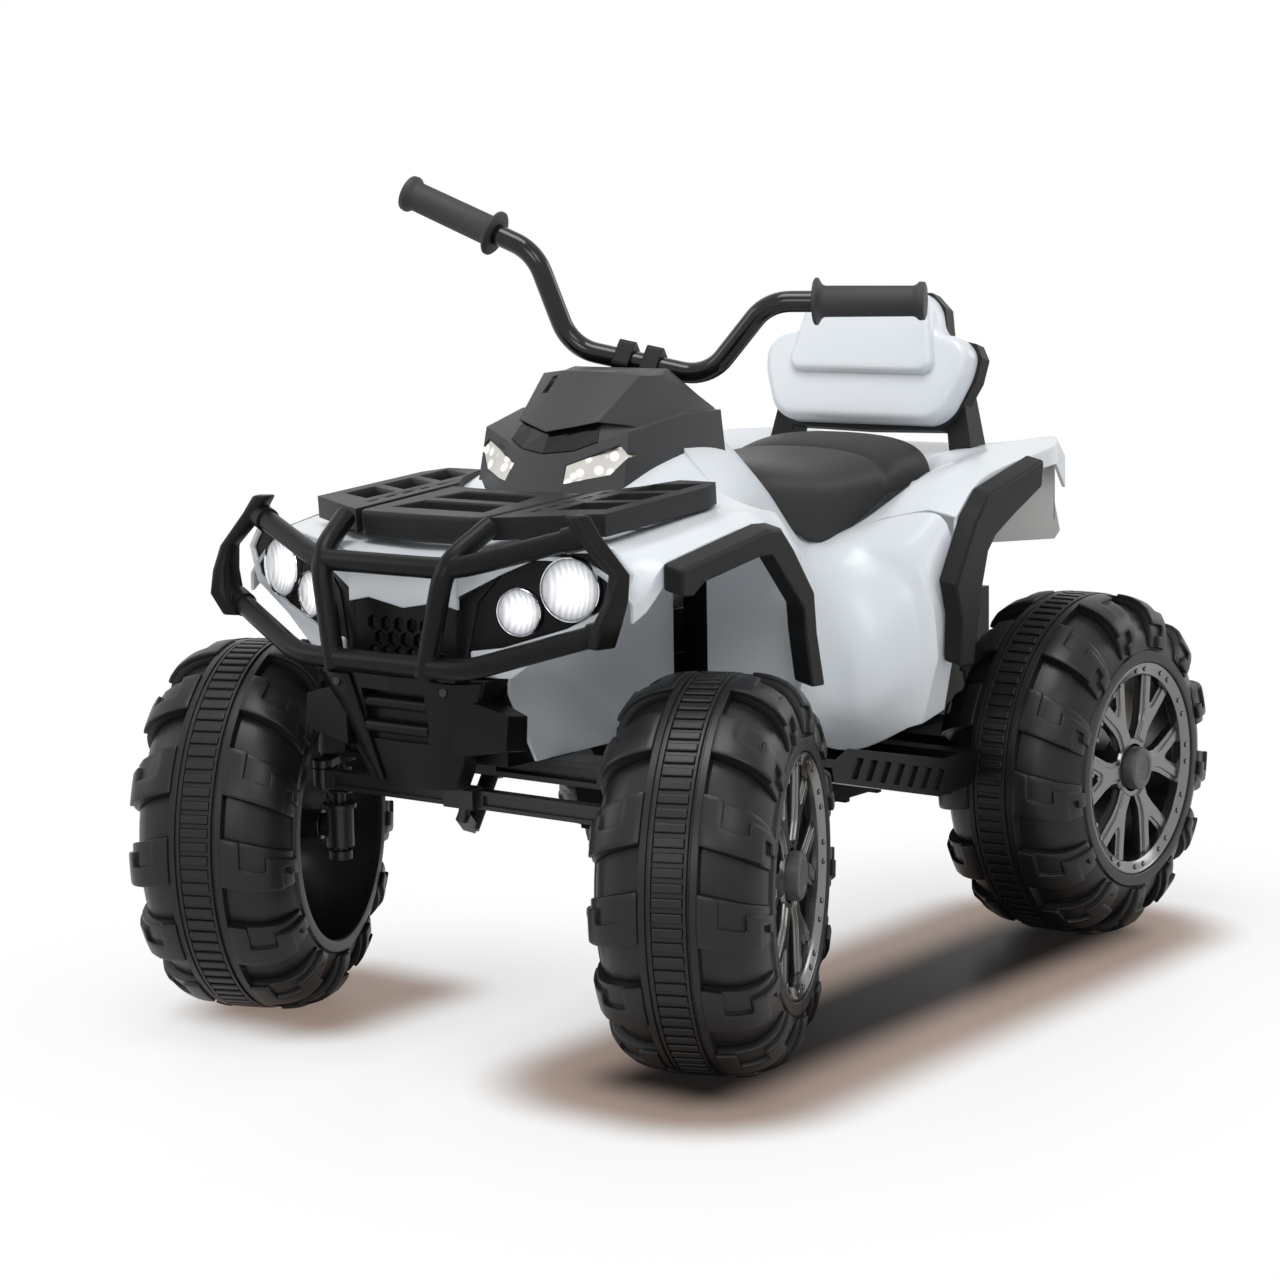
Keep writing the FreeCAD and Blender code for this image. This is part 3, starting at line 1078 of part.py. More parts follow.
def make_power_button():
    button = Part.makeCylinder(BUTTON_RADIUS, 10.0, Vector(0, 0, -6.0))
    top_edge = [edge for edge in button.Edges if edge.BoundBox.ZMin > 3.0]
    return dash_solid(button.makeFillet(1.5, top_edge), POWER_X)


def make_rocker(x):
    """Rocker cap with a shallow valley across its middle."""
    half = ROCKER_LENGTH / 2
    outline = [(-half, -4.0), (half, -4.0), (half, 5.0), (0, 2.5), (-half, 5.0)]
    return dash_solid(prism_x(outline, -ROCKER_WIDTH / 2, ROCKER_WIDTH / 2), x)


def column_tunnel():
    return Part.makeCylinder(COLUMN_RADIUS + 8.0, BAR_CENTRE_DISTANCE, COLUMN_FOOT, COLUMN_AXIS)


def centre_block(lift):
    """The centre body's outer form as a solid, raised by lift."""
    sections = []
    for y, outline in CENTRE_STATIONS:
        raised = [(x, z + lift) for x, z in outline]
        sections.append(section_y([(-x, z) for x, z in reversed(raised[1:])] + raised, y))
    return loft(sections)


SEAT_STATIONS = [
    (-36.0, 506.0, 474.0), (10.0, 503.0, 440.0), (60.0, 498.0, 422.0), (93.0, 496.0, 412.0),
    (137.0, 497.0, 430.0),
    (190.0, 500.0, 451.0), (203.0, 495.0, 455.0), (218.0, 502.0, 458.0), (288.0, 510.0, 464.0),
]


def make_seat():
    """Moulded saddle: crowned top, crease across the rear third, side skirts that dip to a point."""
    edge = SEAT_HALF_WIDTH

    def saddle(inset):
        sections = []
        for y, crown, skirt in SEAT_STATIONS:
            top = crown - inset
            half = [(0, top), (45.0, top - 1.0), (78.0 - inset, top - 5.0), (98.0 - inset, top - 15.0),
                    (edge - inset, top - 30.0), (edge - inset, skirt - inset)]
            sections.append(section_y([(-x, z) for x, z in reversed(half[1:])] + half, y))
        return loft(sections)

    front, rear = SEAT_STATIONS[0][0] + SEAT_WALL, SEAT_STATIONS[-1][0] - SEAT_WALL
    middle = box((-edge, edge), (front, rear), (300.0, 600.0))
    shell = saddle(0).cut(saddle(SEAT_WALL).common(middle))
    return shell.cut([centre_block(SEAT_GAP), under_skin(REAR_STATIONS, FLOOR_LEVEL, SEAT_GAP)])


def make_body_screws():
    """Round heads sunk over the rack's feet and standing on the bull bar's lugs."""
    place = Vector(LUG_X, -435.0, LUG_TOP + SEAT_GAP)
    lug_screw = Part.makeCylinder(SCREW_HEAD_RADIUS, SCREW_HEAD_HEIGHT, place, Z_AXIS)
    sunk = [on_rack(screw) for screw in rack_screws(0)]
    return Part.makeCompound(sunk + [lug_screw, mirrored(lug_screw)])


BACK_FOOT = Vector(0, 297.0, 520.0)
BACK_OUTLINE = [(0, -2.0), (90.0, 0), (106.0, 12.0), (124.0, 50.0), (127.0, 74.0), (118.0, 88.0),
                (84.0, 94.0), (76.0, 124.0), (58.0, 139.0), (0, 141.0)]


def on_back(shape):
    """Leans a backrest piece, made upright with its front face at y = 0, against its rake."""
    copy = turned(shape, Vector(0, 0, 0), X_AXIS, -BACK_TILT)
    copy.translate(BACK_FOOT)
    return copy


def make_backrest_panel():
    """White front panel with a raised head pad."""
    panel = prism_y(both_halves(BACK_OUTLINE), 0, BACK_PANEL_DEPTH)
    pad_foot = both_halves([(0, 50.0), (82.0, 50.0), (88.0, 60.0), (74.0, 128.0), (0, 132.0)])
    pad_face = both_halves([(0, 56.0), (74.0, 56.0), (79.0, 64.0), (68.0, 122.0), (0, 126.0)])
    pad = loft([section_y(pad_foot, 0), section_y(pad_face, -10.0)])
    return on_back(panel.fuse(pad))


def make_backrest_frame():
    """Dark rear shell, a little larger than the panel, on two struts that stand on the deck."""
    rear_face = BACK_PANEL_DEPTH + BACK_SHELL_DEPTH
    larger = [(x * 1.03, 70.0 + (z - 70.0) * 1.05) for x, z in BACK_OUTLINE]
    shell = prism_y(both_halves(larger), BACK_PANEL_DEPTH, rear_face)
    strut_front = [(88.0, 40.0), (116.0, 40.0), (116.0, 80.0), (88.0, 80.0)]
    strut_rear = [(88.0, 40.0), (116.0, 40.0), (112.0, 76.0), (88.0, 76.0)]
    strut = loft([section_y(strut_front, BACK_PANEL_DEPTH + 2.0), section_y(strut_rear, rear_face + 10.0)])
    frame = on_back(shell.fuse([strut, mirrored(strut)]))
    head = [Vector(x, y, 545.0) for x, y in ((90.0, 331.0), (114.0, 331.0), (114.0, 356.0), (90.0, 356.0))]
    foot = [Vector(x, y, 470.0) for x, y in ((104.0, 322.0), (132.0, 322.0), (132.0, 354.0), (104.0, 354.0))]
    leg = loft([head, foot])
    return frame.fuse([leg, mirrored(leg)]).cut(under_skin(REAR_STATIONS, FLOOR_LEVEL, SEAT_GAP))


NODES = {}


def add(name, shape):
    NODES[name] = shape


def build():
    tyre, rim, cap, nut = make_tyre(), make_rim(), make_hub_cap(), make_axle_nut()
    for place, track, y in (("front", TRACK_FRONT, FRONT_Y), ("rear", TRACK_REAR, REAR_Y)):
        for hand, side in (("left", 1), ("right", -1)):
            for piece, shape in (("tyre", tyre), ("rim", rim), ("hub_cap", cap)):
                add(place + "_" + hand + "_" + piece, at_wheel(shape, side, track, y))
    add("rear_axle_nuts", Part.makeCompound([at_wheel(nut, side, TRACK_REAR, REAR_Y) for side in (1, -1)]))
    add("left_axle_nut", at_wheel(nut, 1, TRACK_FRONT, FRONT_Y))
    add("right_axle_nut", at_wheel(nut, -1, TRACK_FRONT, FRONT_Y))
    add("chassis_pan", make_chassis_pan())
    add("front_axle_beam", make_axle_beam())
    add("column_bush", make_column_bush())
    add("rear_axle", make_rear_axle())
    add("battery", make_battery())
    add("control_box", make_control_box())
    handed = {"kingpin": make_kingpin(), "knuckle": make_knuckle(), "spring": make_spring(),
              "grip": make_grip(), "drive_unit": make_drive_unit(), "footrest": make_footrest()}
    for piece, shape in handed.items():
        add("left_" + piece, shape)
        add("right_" + piece, mirrored(shape))
    flares = {"front": make_flare(FRONT_FLARE, FRONT_FLARE_HOLLOW, FENDER_EDGE_X, FLARE_WIDTH),
              "rear": make_flare(REAR_FLARE, REAR_FLARE_HOLLOW, REAR_EDGE_X, REAR_FLARE_WIDTH)}
    for place, flare in flares.items():
        add(place + "_left_flare", flare)
        add(place + "_right_flare", mirrored(flare))
    add("tie_rod", make_tie_rod())
    add("steering_column", make_column())
    add("handlebar", make_handlebar())
    add("handlebar_clamps", make_clamps())
    add("throttle_pedal", make_throttle_pedal())
    add("front_body", make_front_body())
    add("centre_body", make_centre_body())
    add("rear_body", make_rear_body())
    lamps = make_lamps()
    add("lamp_pods", pair(make_lamp_pod()))
    add("lamp_lenses", Part.makeCompound(lamps + [mirrored(lamp) for lamp in lamps]))
    add("grille", make_grille())
    add("skid_plate", make_skid_plate())
    add("bull_bar", make_bull_bar())
    add("front_rack", make_rack())
    cowl, lenses = cowl_with_lenses()
    add("cowl", cowl)
    add("cowl_lenses", lenses)
    add("power_button", make_power_button())
    add("direction_rocker", make_rocker(DIRECTION_X))
    add("speed_rocker", make_rocker(SPEED_X))
    add("seat", make_seat())
    add("backrest_panel", make_backrest_panel())
    add("backrest_frame", make_backrest_frame())
    add("body_screws", make_body_screws())


def steer():
    """Turns the steered pieces, built straight, to the angle at which the part rests."""
    for side, label in ((1, "left"), (-1, "right")):
        centre = Vector(side * KINGPIN_X, FRONT_Y, 0)
        names = [label + piece for piece in ("_kingpin", "_knuckle", "_spring", "_axle_nut")]
        names += ["front_" + label + piece for piece in ("_tyre", "_rim", "_hub_cap")]
        for name in names:
            NODES[name].rotate(centre, Z_AXIS, STEER_REST)
    angle = math.radians(STEER_REST)
    swing = Vector(math.sin(angle), 1.0 - math.cos(angle), 0) * ARM_LENGTH
    NODES["tie_rod"].translate(swing)
    for name in ("steering_column", "handlebar", "handlebar_clamps", "left_grip", "right_grip"):
        NODES[name].rotate(COLUMN_FOOT, COLUMN_AXIS, STEER_REST)


build()
steer()
os.makedirs("parts", exist_ok=True)
for name, shape in NODES.items():
    shape.translate(Vector(0, ORIGIN_SHIFT_Y, 0))
    shape.exportStep("parts/" + name + ".step")
    print(name, len(shape.Solids), shape.isValid(), round(shape.Volume))
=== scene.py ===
"""Kids quad bike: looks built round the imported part, laid out as an add-on and run as a script."""
import json
import math
import bpy
from mathutils import Matrix, Vector


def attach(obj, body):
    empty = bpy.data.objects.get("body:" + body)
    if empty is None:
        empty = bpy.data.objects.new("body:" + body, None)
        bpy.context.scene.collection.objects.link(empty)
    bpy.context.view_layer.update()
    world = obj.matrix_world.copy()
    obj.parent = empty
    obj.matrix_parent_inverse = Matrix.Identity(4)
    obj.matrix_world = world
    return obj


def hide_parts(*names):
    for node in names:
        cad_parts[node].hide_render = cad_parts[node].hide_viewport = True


bl_info = {
    "name": "Kids Quad Bike",
    "version": (1, 0, 0),
    "blender": (4, 5, 0),
    "location": "View3D > Sidebar > Quad Bike",
    "description": "Builds the visible pieces and finishes of a ride-on quad bike",
    "category": "Object",
}

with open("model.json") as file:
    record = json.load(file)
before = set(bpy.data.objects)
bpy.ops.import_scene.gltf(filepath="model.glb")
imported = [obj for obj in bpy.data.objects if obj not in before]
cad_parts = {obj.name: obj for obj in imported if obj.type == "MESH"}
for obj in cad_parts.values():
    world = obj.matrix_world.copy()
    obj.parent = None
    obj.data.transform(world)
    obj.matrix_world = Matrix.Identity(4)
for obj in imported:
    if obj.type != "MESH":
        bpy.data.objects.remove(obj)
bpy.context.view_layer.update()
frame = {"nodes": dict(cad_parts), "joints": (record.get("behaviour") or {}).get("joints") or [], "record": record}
NODES = frame["nodes"]

# Layout of the bike in millimetres about the middle of the wheelbase; SHIFT_Y moves it into the row frame
SHIFT_Y = 14.0
MM = 0.001
WHEEL_Y = 325.0
AXLE_Z = 175.0
HALF_TRACK = {"front": 248.0, "rear": 251.0}
KINGPIN_X = 174.0
STEER_REST = math.radians(22.0)
WHEELS = ("front_left", "front_right", "rear_left", "rear_right")
MIRROR = Matrix.Scale(-1.0, 4, (1, 0, 0))


# Small tools

def at(x, y, z):
    """A point of the layout, in metres, in the row frame."""
    return Vector((x, y + SHIFT_Y, z)) * MM


def fresh():
    """Object mode with nothing selected."""
    if bpy.context.object and bpy.context.object.mode != "OBJECT":
        bpy.ops.object.mode_set(mode="OBJECT")
    bpy.ops.object.select_all(action="DESELECT")


def take(name):
    """Names the primitive just added and hands it over."""
    piece = bpy.context.object
    piece.name = name
    piece.data.name = name
    return piece


def only(piece):
    """Makes a piece the one that operators work on."""
    fresh()
    piece.select_set(True)
    bpy.context.view_layer.objects.active = piece


def edit(piece, *steps):
    """Runs mesh operators on all of a piece in edit mode."""
    only(piece)
    bpy.ops.object.mode_set(mode="EDIT")
    bpy.ops.mesh.select_all(action="SELECT")
    for step in steps:
        step()
    bpy.ops.object.mode_set(mode="OBJECT")


def drop_faces(piece, unwanted):
    """Deletes the faces that the test picks."""
    only(piece)
    bpy.context.tool_settings.mesh_select_mode = (False, False, True)
    for part in (piece.data.vertices, piece.data.edges):
        part.foreach_set("select", [False] * len(part))
    for polygon in piece.data.polygons:
        polygon.select = unwanted(polygon)
    bpy.ops.object.mode_set(mode="EDIT")
    bpy.ops.mesh.delete(type="FACE")
    bpy.ops.object.mode_set(mode="OBJECT")
    bpy.context.tool_settings.mesh_select_mode = (True, False, False)


def merge():
    """Makes points that meet one."""
    bpy.ops.mesh.remove_doubles(threshold=1e-5)


def outward():
    """Turns faces to the outside."""
    bpy.ops.mesh.normals_make_consistent(inside=False)


def upward(polygon):
    """How much a face looks up."""
    return polygon.normal.z * polygon.area


def right_way(piece, measure=upward):
    """Flips a piece whose faces, by this measure, point the wrong way in all."""
    if sum(measure(polygon) for polygon in piece.data.polygons) < 0:
        edit(piece, bpy.ops.mesh.flip_normals)


def modify(piece, kind, **settings):
    """Adds a modifier with these settings and applies it."""
    only(piece)
    modifier = piece.modifiers.new(kind.title(), kind)
    for key, value in settings.items():
        setattr(modifier, key, value)
    bpy.ops.object.modifier_apply(modifier=modifier.name)


def smooth(piece, degrees):
    """Smooth shading over the edges that are blunter than this."""
    only(piece)
    bpy.ops.object.shade_smooth_by_angle(angle=math.radians(degrees))


def bevel(piece, width, segments=2, degrees=40.0):
    """Rounds the edges that are sharper than this."""
    modify(piece, "BEVEL", width=width, segments=segments, limit_method="ANGLE", angle_limit=math.radians(degrees))


def soften(piece, width, segments=2):
    """Rounds the edges and shades the faces between them flat."""
    bevel(piece, width, segments)
    smooth(piece, 40.0)
    modify(piece, "WEIGHTED_NORMAL", keep_sharp=True)


def cut(piece, cutter):
    """Takes the cutter's volume out of a piece."""
    modify(piece, "BOOLEAN", object=cutter, operation="DIFFERENCE", solver="EXACT")
    bpy.data.objects.remove(cutter)


def block(name, place, size):
    """A box of this size in metres, taken to its place by a matrix."""
    fresh()
    bpy.ops.mesh.primitive_cube_add(size=1.0)
    piece = take(name)
    piece.data.transform(place @ Matrix.Diagonal((*size, 1.0)))
    return piece


def rod(name, sides, radius, depth):
    """A cylinder along Z about the origin."""
    fresh()
    bpy.ops.mesh.primitive_cylinder_add(vertices=sides, radius=radius, depth=depth)
    return take(name)


def joined(name, pieces):
    """Several pieces as one object."""
    fresh()
    for piece in pieces:
        piece.select_set(True)
    bpy.context.view_layer.objects.active = pieces[0]
    if len(pieces) > 1:
        bpy.ops.object.join()
    return take(name)


def mirrored(half):
    """A row of points of the layout from the right across to the left, from its left half, middle point first."""
    return [at(-x, y, z) for x, y, z in reversed(half[1:])] + [at(x, y, z) for x, y, z in half]


def grid(name, points):
    """A sheet through rows of points, each row as long as the next, from a grid primitive."""
    fresh()
    rows = len(points)
    columns = len(points[0])
    bpy.ops.mesh.primitive_grid_add(x_subdivisions=columns - 1, y_subdivisions=rows - 1, size=1.0)
    piece = take(name)
    for index, vertex in enumerate(piece.data.vertices):
        vertex.co = points[index // columns][index % columns]
    return piece


def crease_layer(piece):
    """Where a mesh keeps the sharpness of its edges."""
    marks = piece.data.attributes
    return marks.get("crease_edge") or marks.new("crease_edge", "FLOAT", "EDGE")


def crease(piece, value, chosen):
    """Sharpens the edges whose ends the test picks, for a later subdivision."""
    layer = crease_layer(piece)
    for edge in piece.data.edges:
        first, second = (piece.data.vertices[index].co for index in edge.vertices)
        if chosen(first, second):
            layer.data[edge.index].value = value


def subdivide(piece):
    """Rounds a mesh between its creases."""
    modify(piece, "SUBSURF", levels=2, render_levels=2)


def beside(low, high=math.inf):
    """A test for edges with both ends between these distances from the bike's middle, in metres."""
    return lambda first, second: all(low < abs(end.x) < high for end in (first, second))


def tilted(place, angle):
    """The matrix that takes a piece to a place of the layout, turned about its X axis."""
    return Matrix.Translation(at(*place)) @ Matrix.Rotation(angle, 4, "X")


def duplicate(piece, name, change, flip):
    """A copy with its own mesh, its points moved by a matrix, turned right side out where it was mirrored."""
    fresh()
    copy = piece.copy()
    copy.data = piece.data.copy()
    copy.name = name
    copy.data.name = name
    bpy.context.scene.collection.objects.link(copy)
    copy.data.transform(change)
    if flip:
        edit(copy, bpy.ops.mesh.flip_normals)
    return copy


def twin(piece, name=None):
    """The mirror image of a piece, on the bike's other side."""
    return duplicate(piece, name or piece.name, MIRROR, True)


def pair(piece):
    """A piece and its mirror image as one."""
    return joined(piece.name, [piece, twin(piece)])


def both(half):
    """A half outline of (x, z) points, on from the far end by its mirror image; points on the middle come once."""
    return list(half) + [(-x, z) for x, z in reversed(half) if x > 1e-6]


def metres(points):
    """An outline in millimetres, in metres."""
    return [(x * MM, y * MM) for x, y in points]


def settle(piece, slot, *nodes, body="chassis", made_of=None):
    """Gives a finished piece its body and its look (the slot's own if none is named), and hides the solids that it
    stands in for.
    """
    piece.data.materials.clear()
    piece.data.materials.append(look(made_of or slot))
    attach(piece, body)
    if nodes:
        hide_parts(*nodes)
    return piece


def wheel_matrix(wheel):
    """Takes a piece modelled about the wheel's own centre, outer face to +X, to its place on the bike."""
    front = wheel.startswith("front")
    side = 1.0 if wheel.endswith("left") else -1.0
    half = HALF_TRACK["front" if front else "rear"]
    mirror = Matrix.Scale(side, 4, (1, 0, 0))
    place = Matrix.Translation(at(side * half, -WHEEL_Y if front else WHEEL_Y, AXLE_Z))
    if not front:
        return place @ mirror
    pin = at(side * KINGPIN_X, -WHEEL_Y, AXLE_Z)
    turn = Matrix.Translation(pin) @ Matrix.Rotation(STEER_REST, 4, "Z") @ Matrix.Translation(-pin)
    return turn @ place @ mirror


# Finishes

GRAIN_SOCKETS = (
    ("Vector", "NodeSocketVector", "INPUT"), ("Colour", "NodeSocketColor", "INPUT"),
    ("Drift", "NodeSocketFloat", "INPUT"), ("Grain Scale", "NodeSocketFloat", "INPUT"),
    ("Roughness", "NodeSocketFloat", "INPUT"), ("Spread", "NodeSocketFloat", "INPUT"),
    ("Colour", "NodeSocketColor", "OUTPUT"), ("Roughness", "NodeSocketFloat", "OUTPUT"),
    ("Height", "NodeSocketFloat", "OUTPUT"),
)
DRIFT_SCALE, DRIFT_DETAIL, GRAIN_DETAIL = 9.0, 4.0, 2.0
GRAIN_DEPTH, EDGE_SAMPLES, COAT_ROUGHNESS = 0.0006, 4, 0.04


def feed(tree, node, inputs):
    """Sets a node's inputs, each to a value or to the output that drives it."""
    for key, value in inputs.items():
        if isinstance(value, bpy.types.NodeSocket):
            tree.links.new(value, node.inputs[key])
        else:
            node.inputs[key].default_value = value


def add_node(tree, kind, inputs=(), **settings):
    """Adds a shader node with its settings and inputs."""
    node = tree.nodes.new("ShaderNode" + kind)
    for key, value in settings.items():
        setattr(node, key, value)
    feed(tree, node, dict(inputs))
    return node


def grain_group():
    """Moulded surface: slow colour drift, fine grain and a roughness that follows both."""
    group = bpy.data.node_groups.new("Moulded Surface", "ShaderNodeTree")
    for name, kind, way in GRAIN_SOCKETS:
        group.interface.new_socket(name=name, in_out=way, socket_type=kind)
    given = group.nodes.new("NodeGroupInput").outputs
    slow = add_node(group, "TexNoise", {"Vector": given["Vector"], "Scale": DRIFT_SCALE, "Detail": DRIFT_DETAIL})
    fine = add_node(group, "TexNoise", {"Vector": given["Vector"], "Scale": given["Grain Scale"],
                                        "Detail": GRAIN_DETAIL})
    centred = add_node(group, "Math", {0: slow.outputs["Fac"], 1: 0.5}, operation="SUBTRACT").outputs[0]
    drift = add_node(group, "Math", {0: centred, 1: given["Drift"], 2: 1.0}, operation="MULTIPLY_ADD")
    tint = add_node(group, "VectorMath", {0: given["Colour"], "Scale": drift.outputs[0]}, operation="SCALE")
    rough = add_node(group, "Math", {0: centred, 1: given["Spread"], 2: given["Roughness"]},
                     operation="MULTIPLY_ADD")
    feed(group, group.nodes.new("NodeGroupOutput"), {
        "Colour": tint.outputs[0], "Roughness": rough.outputs[0], "Height": fine.outputs["Fac"]})
    return group


def finish(name, colour, roughness, drift=0.1, spread=0.1, scale=1500.0, bump=0.05, metallic=0.0, coat=0.0,
           edge=0.0012, specular=0.5):
    """A procedural material: moulded surface, grain bump over softly rounded edges, one Principled shader."""
    material = bpy.data.materials.new(name)
    material.use_nodes = True
    tree = material.node_tree
    where = add_node(tree, "TexCoord").outputs["Object"]
    surface = add_node(tree, "Group", {
        "Vector": where, "Colour": (*colour, 1.0), "Drift": drift, "Grain Scale": scale,
        "Roughness": roughness, "Spread": spread,
    }, node_tree=bpy.data.node_groups.get("Moulded Surface") or grain_group()).outputs
    relief = add_node(tree, "Bump", {"Strength": bump, "Distance": GRAIN_DEPTH, "Height": surface["Height"]})
    if edge > 0:
        rounded = add_node(tree, "Bevel", {"Radius": edge}, samples=EDGE_SAMPLES)
        feed(tree, relief, {"Normal": rounded.outputs["Normal"]})
    feed(tree, tree.nodes["Principled BSDF"], {
        "Base Color": surface["Colour"], "Roughness": surface["Roughness"], "Normal": relief.outputs["Normal"],
        "Metallic": metallic, "Coat Weight": coat, "Coat Roughness": COAT_ROUGHNESS,
        "Specular IOR Level": specular})
    return material


def ramp(tree, driver, stops, blend="LINEAR"):
    """The colour at a value, between stops of (position, colour)."""
    node = add_node(tree, "ValToRGB", {"Fac": driver})
    node.color_ramp.interpolation = blend
    elements = node.color_ramp.elements
    for element, (position, colour) in zip(elements, (stops[0], stops[-1])):
        element.position = position
        element.color = (*colour, 1.0)
    for position, colour in stops[1:-1]:
        elements.new(position).color = (*colour, 1.0)
    return node.outputs["Color"]


def lit(material, colour, strength):
    """Gives a material light of its own."""
    feed(material.node_tree, material.node_tree.nodes["Principled BSDF"],
         {"Emission Color": colour, "Emission Strength": strength})
    return material


def headlamp_lit():
    """Lit surface of a lamp: a bright middle that fades to the rim, crossed by upright ribs."""
    material = finish("headlamp_lit", (0.3, 0.31, 0.33), 0.2, bump=0.0, edge=0.0)
    tree = material.node_tree
    share = add_node(tree, "Attribute", attribute_name="share")
    fade = ramp(tree, share.outputs["Fac"], ((0.45, (1.0, 1.0, 1.0)), (0.95, (0.1, 0.105, 0.12))))
    where = tree.nodes["Texture Coordinate"].outputs["Object"]
    ribs = add_node(tree, "TexWave", {"Vector": where, "Scale": 60.0, "Distortion": 0.4}, bands_direction="X")
    shade = add_node(tree, "MapRange", {"Value": ribs.outputs["Fac"], "To Min": 0.66, "To Max": 1.05})
    colour = add_node(tree, "VectorMath", {0: fade, "Scale": shade.outputs["Result"]}, operation="SCALE")
    return lit(material, colour.outputs[0], bpy.context.scene.quad_lamp.head)


def lamp_clear():
    """Clear moulded lens."""
    material = finish("lamp_clear", (1.0, 1.0, 1.0), 0.03, drift=0.0, spread=0.02, bump=0.0, edge=0.0)
    feed(material.node_tree, material.node_tree.nodes["Principled BSDF"], {"Transmission Weight": 1.0, "IOR": 1.3})
    return material


def strip_light():
    """Cowl lights: a row of warm points in a bright reflector behind a clear skin."""
    material = finish("strip_light", (0.62, 0.61, 0.6), 0.16, drift=0.4, spread=0.1, scale=300.0, bump=0.3,
                      metallic=0.75, edge=0.0)
    tree = material.node_tree
    where = tree.nodes["Texture Coordinate"].outputs["Object"]
    points = add_node(tree, "TexVoronoi", {"Vector": where, "Scale": 85.0, "Randomness": 0.6})
    colour = ramp(tree, points.outputs["Distance"], ((0.18, (1.0, 0.95, 0.82)), (0.46, (0.05, 0.04, 0.026))))
    return lit(material, colour, bpy.context.scene.quad_lamp.strip)


LOOKS = {
    "white_gloss": ("body", 0.3, dict(drift=0.03, spread=0.08, scale=500.0, bump=0.02, coat=0.12, edge=0.002)),
    # The body's white greyed as painted shade, for the inner walls and tail, and matte
    "liner_grey_painted_shade": ((0.5, 0.5, 0.48), 0.5, dict(drift=0.08, scale=1400.0, bump=0.06, edge=0.001)),
    "trim_grey": ("trim", 0.42, dict(drift=0.25, spread=0.14, scale=2600.0, bump=0.22, edge=0.0016, specular=0.14)),
    # The trim's dark grey made darker as painted shade, for the flares
    "flare_grey_painted_shade": ((0.012, 0.0122, 0.0125), 0.42, dict(drift=0.25, spread=0.14, scale=2600.0, bump=0.22,
                                                       edge=0.0016, specular=0.14)),
    # The trim's dark grey made lighter as painted light, for the cowl and its lit cap
    "cowl_grey_painted_light": ((0.056, 0.0565, 0.059), 0.4, dict(drift=0.2, spread=0.14, scale=2600.0, bump=0.2, edge=0.0016,
                                                    specular=0.2)),
    "tyre_black": ("tyre", 0.36, dict(drift=0.3, spread=0.16, scale=1800.0, bump=0.12, edge=0.001, specular=0.3)),
    "black_plastic": ("black", 0.33, dict(drift=0.25, spread=0.12, scale=2200.0, bump=0.12, specular=0.14)),
    "gunmetal": ("rim", 0.2, dict(drift=0.12, scale=900.0, bump=0.04, metallic=0.95)),
    "seat_grey": ("seat", 0.46, dict(drift=0.2, spread=0.12, scale=1900.0, bump=0.3, edge=0.002, specular=0.2)),
    "grip_rubber": ("grip", 0.62, dict(drift=0.2, scale=2600.0, bump=0.2)),
    "bare_steel": ((0.5, 0.5, 0.51), 0.32, dict(drift=0.15, spread=0.15, scale=900.0, bump=0.08, metallic=1.0,
                                                edge=0.0006)),
    "bar_black": ("black", 0.14, dict(spread=0.06, scale=700.0, bump=0.02, coat=0.25, specular=0.25)),
    "chrome_reflector": ((0.82, 0.83, 0.85), 0.1, dict(drift=0.04, spread=0.05, scale=600.0, bump=0.03,
                                                       metallic=1.0, edge=0.0)),
    "dark_grey": ((0.05, 0.05, 0.053), 0.4, dict(drift=0.2, spread=0.12, scale=2000.0, bump=0.1)),
    "burnt_steel": ((0.03, 0.03, 0.032), 0.36, dict(drift=0.2, spread=0.16, scale=1100.0, bump=0.08, metallic=0.5,
                                                    edge=0.0006)),
}
SPECIAL_LOOKS = {maker.__name__: maker for maker in (headlamp_lit, lamp_clear, strip_light)}
SLOT_LOOK = {"black_gloss_metal": "bar_black"}
NODE_LOOK = {name: "burnt_steel" for name in (
    "front_axle_beam", "tie_rod", "left_kingpin", "right_kingpin", "left_knuckle", "right_knuckle", "left_spring",
    "right_spring", "body_screws", "steering_column")}
NODE_LOOK.update(handlebar_clamps="black_plastic", cowl_lenses="strip_light")
MADE = {}


def look(name):
    """The material of this name, made when it is first asked for."""
    if name not in MADE:
        if name in SPECIAL_LOOKS:
            MADE[name] = SPECIAL_LOOKS[name]()
        else:
            colour, roughness, rest = LOOKS[name]
            if isinstance(colour, str):
                colour = getattr(bpy.context.scene.quad_finish, colour)
            MADE[name] = finish(name, colour, roughness, **rest)
    return MADE[name]


# Values that a user may change

